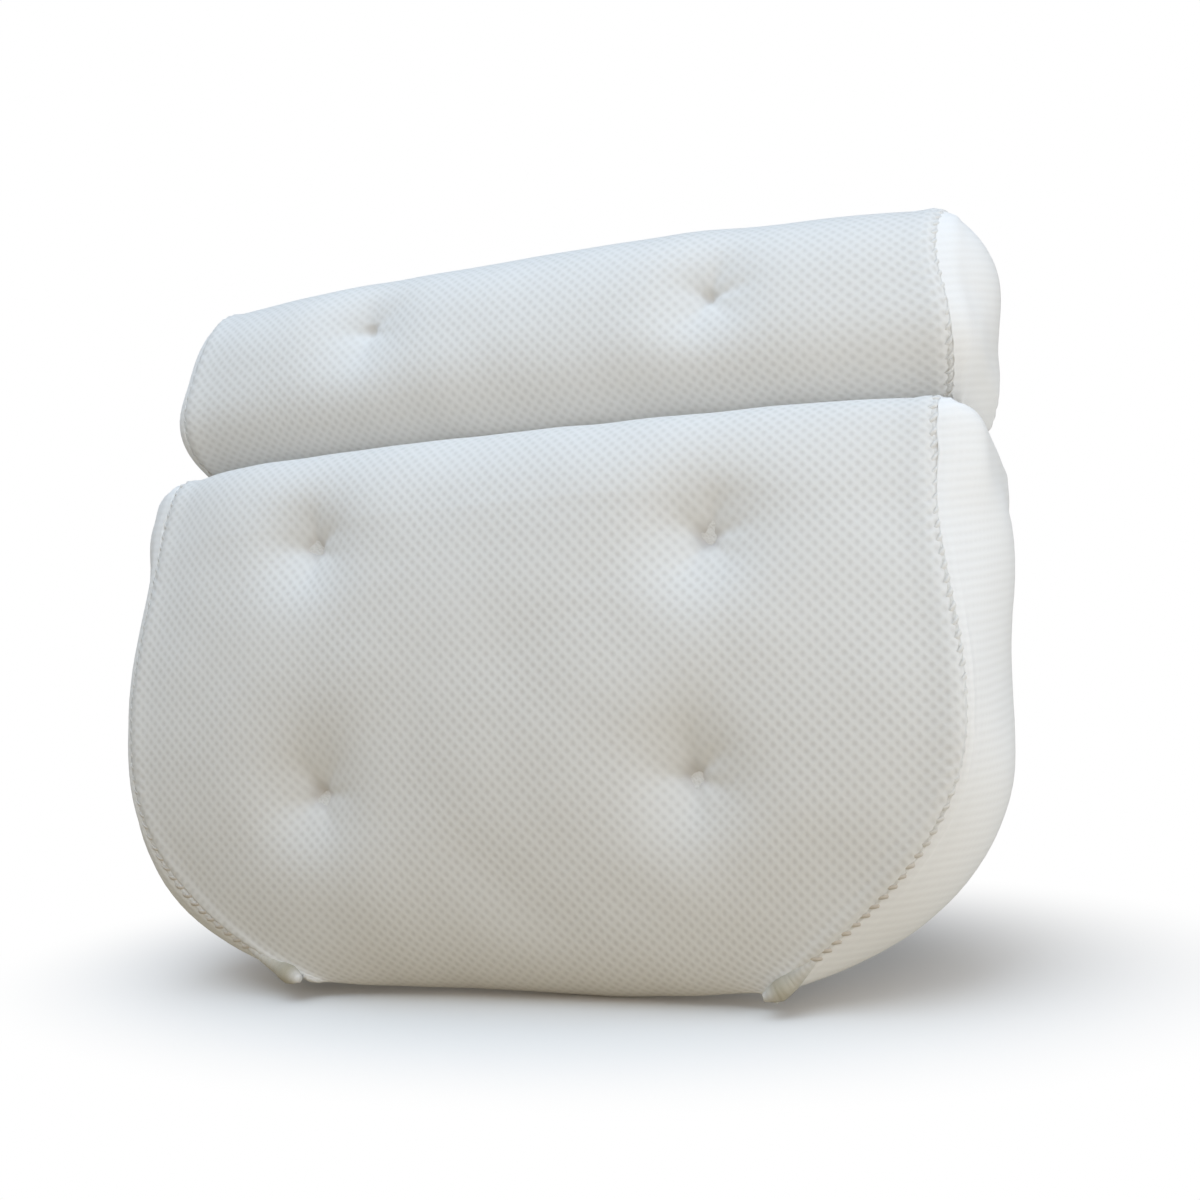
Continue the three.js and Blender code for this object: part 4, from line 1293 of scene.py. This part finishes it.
def overlock_jig():
    """Slanted loops of flat soft thread round a seam's cord, one after another along it."""
    jig = Jig("overlock_loops", ["Loop Spacing", "Loop Radius", "Thread Radius", "Flatness", "Slant",
                                 "Stretch", "Outward", "Material"])
    circle = "GeometryNodeCurvePrimitiveCircle"
    dots = jig.node("GeometryNodeCurveToPoints", {"mode": "LENGTH"}, Curve=jig.given["Geometry"],
                    Length=jig.given["Loop Spacing"])
    ring = jig.node(circle, Resolution=18, Radius=jig.given["Loop Radius"])["Curve"]
    yarn = jig.node(circle, Resolution=6, Radius=jig.given["Thread Radius"])["Curve"]
    squeeze = jig.node("ShaderNodeCombineXYZ", X=jig.given["Flatness"], Y=1.0, Z=1.0)["Vector"]
    flat = jig.node("GeometryNodeTransform", Geometry=yarn, Scale=squeeze)["Geometry"]
    loop = jig.node("GeometryNodeCurveToMesh", Curve=ring, Profile_Curve=flat)["Mesh"]
    faced = jig.node("FunctionNodeAlignRotationToVector", {"axis": "X", "pivot_axis": "Z"},
                     Rotation=dots["Rotation"], Vector=jig.given["Outward"])["Rotation"]
    slant = jig.node("ShaderNodeCombineXYZ", X=jig.given["Slant"])["Vector"]
    turned = jig.node("FunctionNodeRotateRotation", {"rotation_space": "LOCAL"}, Rotation=faced,
                      Rotate_By=slant)["Rotation"]
    size = jig.node("ShaderNodeCombineXYZ", X=1.0, Y=jig.given["Stretch"], Z=1.0)["Vector"]
    laid = jig.node("GeometryNodeInstanceOnPoints", Points=dots["Points"], Instance=loop, Rotation=turned,
                    Scale=size)
    return jig.finish(laid["Instances"])


def stitch_jig():
    """Short stitches laid end to end along a line, with a gap between them."""
    jig = Jig("lock_stitches", ["Stitch Spacing", "Stitch Length", "Thread Radius", "Material"])
    dots = jig.node("GeometryNodeCurveToPoints", {"mode": "LENGTH"}, Curve=jig.given["Geometry"],
                    Length=jig.given["Stitch Spacing"])
    thread = jig.given["Thread Radius"]
    bead = jig.node("GeometryNodeMeshUVSphere", Segments=6, Rings=5, Radius=thread)["Mesh"]
    long = jig.node("ShaderNodeMath", {"operation": "DIVIDE"})[0]
    jig.feed(long.node.inputs[0], jig.given["Stitch Length"])
    jig.feed(long.node.inputs[1], thread)
    size = jig.node("ShaderNodeCombineXYZ", X=1.0, Y=1.0, Z=long)["Vector"]
    laid = jig.node("GeometryNodeInstanceOnPoints", Points=dots["Points"], Instance=bead,
                    Rotation=dots["Rotation"], Scale=size)
    return jig.finish(laid["Instances"])


OVERLOCK = overlock_jig()
LOCK_STITCH = stitch_jig()


def rail_path(section, side, start, end):
    """Points of a section's seam between two travels, evenly spaced."""
    table = length_table(section.side, start, end)
    count = max(int(table[-1][1] / SEAM_STEP), 4)
    path = []
    for i in range(count + 1):
        point = section.side(looked_up(table, table[-1][1] * i / count))
        point.x *= side
        path.append(section.settle(point))
    return path


def overlock(name, path, radius, side, body):
    """The overlock stitches round a seam's welt, slanted as they are seen from outside."""
    outward = LEAN @ Vector((side, -1, 0)).normalized()
    slant = math.radians(OVERLOCK_SLANT)
    loops = OVERLOCK.run(
        curve_through(f"{name}_path", path),
        Loop_Spacing=PUCKER_PITCH * MM,
        Loop_Radius=(radius + OVERLOCK_SLACK) * MM,
        Thread_Radius=OVERLOCK_WIDTH / 2 * MM,
        Flatness=OVERLOCK_FLATNESS_SHARE,
        Slant=slant * (side or 1),
        Stretch=1 / math.cos(slant),
        Outward=outward,
        Material=SEAM_THREAD,
    )
    return piece(f"{name}_overlock", loops, SEAM_THREAD, body)


def under_cloth(section, side, path, sink_at):
    """A seam's path moved in under the edges of the cloth on its two sides."""
    sunk = []
    for i, point in enumerate(path):
        along = heading(path, i)
        inward = Vector((0, -along.z, along.y)).normalized()
        if inward.dot(Vector(section.heart) - point) < 0:
            inward.negate()
        sunk.append(point + (inward + Vector((-side, 0, 0))).normalized() * sink_at(i))
    return sunk


def corded_seam(name, section, side, path, stands_for, radius_at=None):
    """A seam's welt under the cloth's edges, and the overlock stitches that show over it."""
    radius_at = radius_at or (lambda i: CORD_RADIUS)

    def bundled(i):
        share = clamp((radius_at(i) - CORD_RADIUS) / (SEAM_END_RADIUS - CORD_RADIUS), 0, 1)
        return share**BUNDLED_POWER

    last_bundled = max((i for i in range(len(path)) if bundled(i) > BUNDLED_SHARE), default=-1)
    sunk = under_cloth(section, side, path, lambda i: WELT_SINK * (1 - bundled(i)))
    welt = tube(name, sunk, radius_at, bundled_at=bundled)
    piece(name, welt, CORD, section.body, stands_for)
    overlock(name, sunk[last_bundled + 1:], CORD_RADIUS, side, section.body)


def front_cord_path(side):
    """The pad's front seam with its bundled end below the foot."""
    start = math.acos(1 - SEAM_END_RADIUS / PAD_FACE_HEIGHT) / QUARTER_TURN
    path = rail_path(shoulder, side, start, shoulder.near_fold(*PAD_FACE_TO_FOLD, 2 * CORD_RADIUS))
    run = path[0] - path[1]
    run.y = 0
    run.normalize()
    count = int(SEAM_END_LENGTH / SEAM_STEP) + 1
    ends = [path[0] + run * SEAM_END_LENGTH * i / count for i in range(count, 0, -1)]
    return ends + path


def front_cord_radius(i):
    """The front cord's radius at a point of its path: full at the bundled end, drawn out to slim."""
    left = clamp(1 - i * SEAM_STEP / SEAM_END_TAPER, 0, 1)
    tip = 1 - SEAM_TIP_NARROWING * bell(i, SEAM_TIP_STEPS)
    return mix(CORD_RADIUS, SEAM_END_RADIUS, left * left * (3 - 2 * left)) * tip


def core(section, end, ends):
    """The section's fibre filling, a full closed form inside its cover."""
    low, high = ends
    columns = [-1 + 2 * i / CORE_COLUMNS for i in range(CORE_COLUMNS + 1)]
    table = length_table(section.middle, low, high)
    runs = [table[-1][1] * i / CORE_ROWS for i in range(CORE_ROWS + 1)]
    rows = []
    for run in runs:
        travel = looked_up(table, run)
        limit = 1 - EDGE_INSET / section.side(travel).x
        rows.append(section.row(travel, [c * limit for c in columns]))
    rings = [[row[j] for row in rows] for j in range(len(columns))]
    sunk = []
    for ring in rings:
        middle = sum(ring, Vector()) / len(ring)
        sunk.append([point + (middle - point).normalized() * CORE_SINK_SHARE * CORE_INSET for point in ring])
    caps = []
    for ring, side in ((sunk[0], -1), (sunk[-1], 1)):
        middle = sum(ring, Vector()) / len(ring)
        domed = []
        for scale in CORE_CAP_SHARES:
            line = []
            for point in ring:
                y, z = mix(middle.y, point.y, scale), mix(middle.z, point.z, scale)
                slope = (end.half_width(z + PIECE_GAP) - end.half_width(z - PIECE_GAP)) / (2 * PIECE_GAP)
                reach = mix(end.half_width(z), end.belly(y, z), CORE_BELLY_SHARE)
                line.append(Vector((side * (reach - CORE_INSET * math.hypot(1, slope)), y, z)))
            domed.append(line)
        caps.append(domed)
    grid = [[section.settle(point) for point in ring] for ring in (*reversed(caps[0]), *sunk, *caps[1])]
    mesh = grid_mesh(f"{section.name}_core", grid, lambda i, j: (i * MM, j * MM), closed_across=True)
    return closed_ends(mesh, len(grid), len(grid[0]))


def knotted_thread(section, name, x, z):
    """A tuft's thread from the dimple to the back, with a wound knot at each end."""
    share = x / section.side(section.travel_at(1, z)).x
    apex = section.skin(share, section.travel_at(share, z)).y
    front, back = apex + TUFT_PIT + DIMPLE_KNOT_SINK, KNOT_RADIUS + PIECE_GAP
    path = [Vector((x, mix(front, back, i / KNOT_STEPS), z)) for i in range(KNOT_STEPS + 1)]
    slim = THREAD_RADIUS * THREAD_SLIM_SHARE
    winding, winding_turn = KNOT_WINDING

    def radius(i):
        knot = DIMPLE_KNOT_RADIUS if i < KNOT_STEPS / 2 else KNOT_RADIUS
        wound = winding * math.sin(i * winding_turn)
        return slim + wound + (knot - slim) * bell(min(i, KNOT_STEPS - i), KNOT_LENGTH_STEPS)

    return tube(name, path, radius, 10)


# The two sections


def dress_section(section, end, cover_ends, core_ends):
    """A section's cover, filling, two end panels and tufts."""
    cover_name = f"{section.name}_mesh_cover"
    cover = piece(cover_name, mesh_cover(section, cover_ends), WHITE_MESH, section.body,
                  [f"{section.name}_mesh_wrap"])
    filling = piece(f"{section.name}_fibre_core", core(section, end, core_ends), WADDING, section.body,
                    [f"{section.name}_filling"])
    for side, word in ((1, "right"), (-1, "left")):
        name = f"{section.name}_end_cover_{word}"
        made = piece(name, end_cover(section, end, side), END_MESH, section.body,
                     [f"{section.name}_end_panel_{word}"])
    for tuft, (x, z) in section.tufts.items():
        name = f"{section.name}_tuft_knot_{tuft}"
        piece(name, knotted_thread(section, name, x, z), THREAD, section.body,
              [f"{section.name}_tuft_thread_{tuft}"])


def ends_near_fold(section, stretches, gaps):
    """The two travels at which a section's sheet or filling stops short of the fold."""
    return tuple(section.near_fold(*stretch, gap) for stretch, gap in zip(stretches, gaps))


PAD_TO_FOLD = (PAD_BACK_TO_FOLD, PAD_FACE_TO_FOLD)
ROLL_TO_FOLD = (ROLL_UNDER_TO_FOLD, ROLL_BACK_TO_FOLD)
pad_cover_ends = ends_near_fold(shoulder, PAD_TO_FOLD, (FOLD_CORD_RADIUS * COVER_CORD_SHARE, COVER_FOLD_GAP))
pad_core_ends = ends_near_fold(shoulder, PAD_TO_FOLD, (CORE_INSET + PIECE_GAP, EDGE_INSET))
roll_cover_ends = ends_near_fold(head, ROLL_TO_FOLD, (COVER_FOLD_GAP, FOLD_CORD_RADIUS * COVER_CORD_SHARE))
roll_core_ends = ends_near_fold(head, ROLL_TO_FOLD, (EDGE_INSET, CORE_INSET + PIECE_GAP))
dress_section(shoulder, pad_end, pad_cover_ends, pad_core_ends)
dress_section(head, roll_end, roll_cover_ends, roll_core_ends)

for side, word in ((1, "right"), (-1, "left")):
    corded_seam(f"shoulder_front_welt_{word}", shoulder, side, front_cord_path(side),
                [f"shoulder_front_seam_cord_{word}"], front_cord_radius)
    back_start = -math.acos(1 - 2 * CORD_RADIUS / PAD_HEIGHT) / QUARTER_TURN
    path = rail_path(shoulder, side, shoulder.near_fold(*PAD_BACK_TO_FOLD, 2 * CORD_RADIUS), back_start)
    corded_seam(f"shoulder_back_welt_{word}", shoulder, side, path, [f"shoulder_back_seam_cord_{word}"])
    path = rail_path(head, side, *ends_near_fold(head, ROLL_TO_FOLD, (2 * CORD_RADIUS, 2 * CORD_RADIUS)))
    corded_seam(f"head_welt_{word}", head, side, path,
                [f"head_front_seam_cord_{word}", f"head_back_seam_cord_{word}"])


def fold_seam():
    """The corded seam on which the roll folds back."""
    half = ROLL_HALF_WIDTH - CORD_RADIUS
    path = [Vector((mix(-half, half, i / FOLD_STEPS), 0, FOLD_HEIGHT)) for i in range(FOLD_STEPS + 1)]
    piece("fold_welt", tube("fold_welt", path, lambda i: FOLD_CORD_RADIUS), CORD, "shoulder_pad",
          ["fold_seam_cord"])
    stitched = [point for point in path if abs(point.x) < half - FOLD_STITCH_END]
    overlock("fold_welt", stitched, FOLD_CORD_RADIUS, 0, "shoulder_pad")


fold_seam()


# Tabs and cups


def tab_height(x):
    """The tab's underside above the back, along its length."""
    foot = TAB_LENGTH / 2 - TAB_FOOT_LENGTH
    return TAB_RISE * smooth_rise(foot - abs(x), 0, TAB_RISE)


def tab_tape(name, x0, z0, sides=64):
    """A tape tab: sewn feet, a raised middle and a round buttonhole, as one closed form."""
    hole = CUP_NECK_RADIUS + PIECE_GAP
    rows = []
    half = (TAB_LENGTH / 2, TAB_WIDTH / 2)
    for share in TAB_RING_SHARES:
        ring = []
        for c, s in turns(sides):
            reach = min(half[0] / max(abs(c), 1e-6), half[1] / max(abs(s), 1e-6))
            radius = mix(hole, reach, share)
            ring.append((c * radius, s * radius))
        rows.append(ring)
    lift = PIECE_GAP + TAB_THICKNESS
    top = [[Vector((x0 + x, lift + tab_height(x), z0 + z)) for x, z in ring] for ring in rows]

    def flat(i, j):
        x, z = rows[i][j % len(rows[i])]
        return x * MM, z * MM

    mesh = grid_mesh(name, top, flat, closed_across=True)
    mesh = turned_out(mesh, (x0, -PAD_SEAM_DEPTH, z0))
    return lined(mesh, TAB_THICKNESS)


def cup_profile():
    """Half the cup's section: mushroom head, neck, bell with two moulded rings, rim and hollow."""
    head_top = CUP_HEAD_ROOM + CUP_HEAD_THICKNESS
    points = [(0, CUP_HEAD_ROOM), (CUP_HEAD_RADIUS - 0.7, CUP_HEAD_ROOM)]
    points += [(CUP_HEAD_RADIUS - 0.2, CUP_HEAD_ROOM + 0.3), (CUP_HEAD_RADIUS, CUP_HEAD_ROOM + 0.9)]
    points += [(CUP_HEAD_RADIUS - 0.3, head_top - 0.2), (CUP_HEAD_RADIUS - 0.9, head_top)]
    points += [(CUP_NECK_RADIUS + 0.4, head_top), (CUP_NECK_RADIUS, head_top + 0.4)]
    points += [(CUP_NECK_RADIUS, CUP_BASE - 0.1), (CUP_SHOULDER_RADIUS - 0.6, CUP_BASE)]
    for i in range(CUP_BELL_STEPS + 1):
        share = i / CUP_BELL_STEPS
        rise = (CUP_HEIGHT - CUP_RIM_WIDTH / 2) * share**1.6
        ridge = sum(CUP_RIDGE * bell(share - place, CUP_RIDGE_WIDTH_SHARE) for place in CUP_RIDGE_SHARES)
        points.append((mix(CUP_SHOULDER_RADIUS, CUP_RADIUS - 0.3, share), CUP_BASE + rise - ridge))
    points += [(CUP_RADIUS, WALL_DISTANCE - 0.7), (CUP_RADIUS - 0.1, WALL_DISTANCE - 0.1)]
    points += [(CUP_RADIUS - 0.8, WALL_DISTANCE), (CUP_RADIUS - CUP_RIM_WIDTH, WALL_DISTANCE)]
    for i in range(1, CUP_HOLLOW_STEPS):
        angle = i / CUP_HOLLOW_STEPS * QUARTER_TURN
        inner = (CUP_RADIUS - CUP_RIM_WIDTH) * math.cos(angle)
        points.append((inner, WALL_DISTANCE - CUP_HOLLOW * math.sin(angle)))
    return points + [(0, WALL_DISTANCE - CUP_HOLLOW)]


def turned_cup(name, x0, z0, sides=56):
    """The cup, turned about its own axis, with its poles closed."""
    profile = cup_profile()
    form = bmesh.new()
    rings = []
    for radius, y in profile:
        if radius == 0:
            rings.append([form.verts.new(PLACE @ Vector((x0, y, z0)))])
            continue
        places = [Vector((x0 + radius * c, y, z0 + radius * s)) for c, s in turns(sides)]
        rings.append([form.verts.new(PLACE @ place) for place in places])
    for a, b in zip(rings, rings[1:]):
        for j in range(sides):
            k = (j + 1) % sides
            corners = [a[j % len(a)], a[k % len(a)], b[k % len(b)], b[j % len(b)]]
            form.faces.new(list(dict.fromkeys(corners)))
    bmesh.ops.recalc_face_normals(form, faces=form.faces)
    mesh = bpy.data.meshes.new(name)
    form.to_mesh(mesh)
    form.free()
    mesh.shade_smooth()
    return mesh


def tab_stitches(name, x0, z0):
    """The rows of stitches that hold a tab's feet."""
    meshes = []
    half = TAB_WIDTH / 2 - TAB_STITCH_INSET
    y = PIECE_GAP + TAB_THICKNESS + STITCH_LIFT
    for x in (-1, 1):
        for inset in (TAB_STITCH_INSET, TAB_FOOT_LENGTH - TAB_STITCH_INSET):
            place = x0 + x * (TAB_LENGTH / 2 - inset)
            line = [Vector((place, y, z0 - half)), Vector((place, y, z0 + half))]
            made = LOCK_STITCH.run(
                curve_through(name, line),
                Stitch_Spacing=TAB_STITCH_SPACING * MM,
                Stitch_Length=TAB_STITCH_LENGTH * MM,
                Thread_Radius=TAB_STITCH_RADIUS * MM,
                Material=THREAD,
            )
            meshes.append(made)
    return joined(name, meshes)


def joined(name, meshes):
    """Several meshes as one."""
    form = bmesh.new()
    for mesh in meshes:
        form.from_mesh(mesh)
        bpy.data.meshes.remove(mesh)
    whole = bpy.data.meshes.new(name)
    form.to_mesh(whole)
    form.free()
    whole.shade_smooth()
    return whole


def buttonhole(name, x0, z0):
    """Close loops of thread round the tab's hole."""
    radius = CUP_NECK_RADIUS + PIECE_GAP + 0.5
    y = PIECE_GAP + TAB_RISE + TAB_THICKNESS / 2
    path = [Vector((x0 + radius * math.cos(a), y, z0 + radius * math.sin(a)))
            for a in (2 * math.pi * i / BUTTONHOLE_STEPS for i in range(BUTTONHOLE_STEPS + 1))]
    return OVERLOCK.run(
        curve_through(name, path),
        Loop_Spacing=BUTTONHOLE_SPACING * MM,
        Loop_Radius=(TAB_THICKNESS / 2 + STITCH_LIFT) * MM,
        Thread_Radius=BUTTONHOLE_THREAD_RADIUS * MM,
        Flatness=1.0,
        Slant=0.0,
        Stretch=1.0,
        Outward=LEAN @ Vector((0, -1, 0)),
        Material=THREAD,
    )


for cups, body in ((PAD_CUPS, "shoulder_pad"), (ROLL_CUPS, "head_roll")):
    for place, (x, z) in cups.items():
        tape = f"tape_tab_{place}"
        piece(tape, tab_tape(tape, x, z), TAPE, body, [f"cup_tab_{place}"])
        piece(f"tape_stitches_{place}", tab_stitches("tape_stitches", x, z), THREAD, body)
        piece(f"buttonhole_{place}", buttonhole("buttonhole", x, z), THREAD, body)
        cup = f"vinyl_cup_{place}"
        piece(cup, turned_cup(cup, x, z), VINYL, f"cup_{place}", [f"suction_cup_{place}"])


# Floor, light and camera

FLOOR_GAP = 0.0005
LAMP_AIM = (0, -0.04, 0)
ROOM_STRENGTH = 0.27
CAMERA_PLACE = (309.43, -653.28, -42.52)
CAMERA_LENS = 52.67
LAMPS = {
    "sky_lamp": ((-0.1, -0.3, 0.95), 1.1, 8.8, (0.7, 0.84, 1.0)),
    "front_lamp": ((0.3, -1.5, 0.2), 1.0, 5.2, (1.0, 0.8, 0.56)),
    "side_front_lamp": ((1.2, -0.8, 0.3), 0.8, 3.6, (0.82, 0.9, 1.0)),
    "side_lamp": ((1.3, -0.1, 0.1), 0.6, 5.5, (0.92, 0.95, 1.0)),
}


def pale_floor(height):
    """A wide plain floor that turns into the white backdrop away from the pillow."""
    bench = Bench("pale_floor", roughness=0.9)
    vector, (x, y, _) = bench.place("Object")
    seen = bench.shade("ShaderNodeLightPath", "Is Camera Ray")
    bench.colour(bench.blend(seen.socket, rgb(0.44, 0.375, 0.265), rgb(0.9, 0.888, 0.87)))
    glow = bench.node("ShaderNodeEmission", None, {"Color": rgb(1, 1, 1), "Strength": 1.0})
    away = (x * x + (y + 0.06) * (y + 0.06) * 4.0) ** 0.5
    choice = bench.node("ShaderNodeMixShader", None, {"Fac": bench.ramp(away, 0.12, 0.3) * seen})
    bench.feed(choice.inputs[1], bench.shader.outputs[0])
    bench.feed(choice.inputs[2], glow.outputs[0])
    bench.feed(bench.tree.nodes["Material Output"].inputs["Surface"], choice.outputs[0])
    form = bmesh.new()
    bmesh.ops.create_grid(form, x_segments=1, y_segments=1, size=6)
    mesh = bpy.data.meshes.new("pale_floor")
    form.to_mesh(mesh)
    form.free()
    mesh.transform(Matrix.Translation((0, 0, height)))
    mesh.materials.append(bench.material)
    in_scene("pale_floor", mesh)


def soft_lamp(name, place, size, power, colour):
    """A square soft lamp that faces the pillow's middle."""
    lamp = bpy.data.lights.new(name, "AREA")
    lamp.shape = "SQUARE"
    lamp.size = size
    lamp.energy = power
    lamp.color = colour
    made = in_scene(name, lamp)
    made.location = place
    made.rotation_euler = (Vector(LAMP_AIM) - Vector(place)).to_track_quat("-Z", "Y").to_euler()


def room_light(strength):
    """Even light from all round, seen as white by the camera."""
    world = bpy.data.worlds.new("soft_room")
    bpy.context.scene.world = world
    world.use_nodes = True
    nodes = Nodes(world.node_tree)
    nodes.tree.nodes.clear()
    seen = nodes.node("ShaderNodeLightPath").outputs["Is Camera Ray"]
    background = "ShaderNodeBackground"
    room = nodes.node(background, None, {"Color": rgb(0.93, 0.96, 1.0), "Strength": strength})
    white = nodes.node(background, None, {"Color": rgb(1, 1, 1)})
    choice = nodes.node("ShaderNodeMixShader", None, {"Fac": seen, 1: room.outputs[0], 2: white.outputs[0]})
    nodes.node("ShaderNodeOutputWorld", None, {"Surface": choice.outputs[0]})


def photo_camera():
    """The camera at the photograph's viewing angle, worked out in the pillow's own millimetres."""
    right = Vector((0.91405, 0.40169, 0.05622))
    down = Vector((-0.0616, 0.27449, -0.95962))
    ahead = Vector((-0.4009, 0.87367, 0.27564))
    turn = Matrix((right, -down, -ahead)).transposed().to_4x4()
    camera = bpy.data.cameras.new("photo_camera")
    camera.sensor_width = 36
    camera.lens = CAMERA_LENS
    camera.clip_start = 0.01
    made = in_scene("photo_camera", camera)
    made.matrix_world = Matrix.Translation(PLACE @ Vector(CAMERA_PLACE)) @ LEAN @ turn
    bpy.context.scene.camera = made


photo_camera()
lowest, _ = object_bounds()
pale_floor(lowest[2] - FLOOR_GAP)
for name, (place, size, power, colour) in LAMPS.items():
    soft_lamp(name, place, size, power, colour)
room_light(ROOM_STRENGTH)
bpy.context.scene.view_settings.view_transform = "Standard"
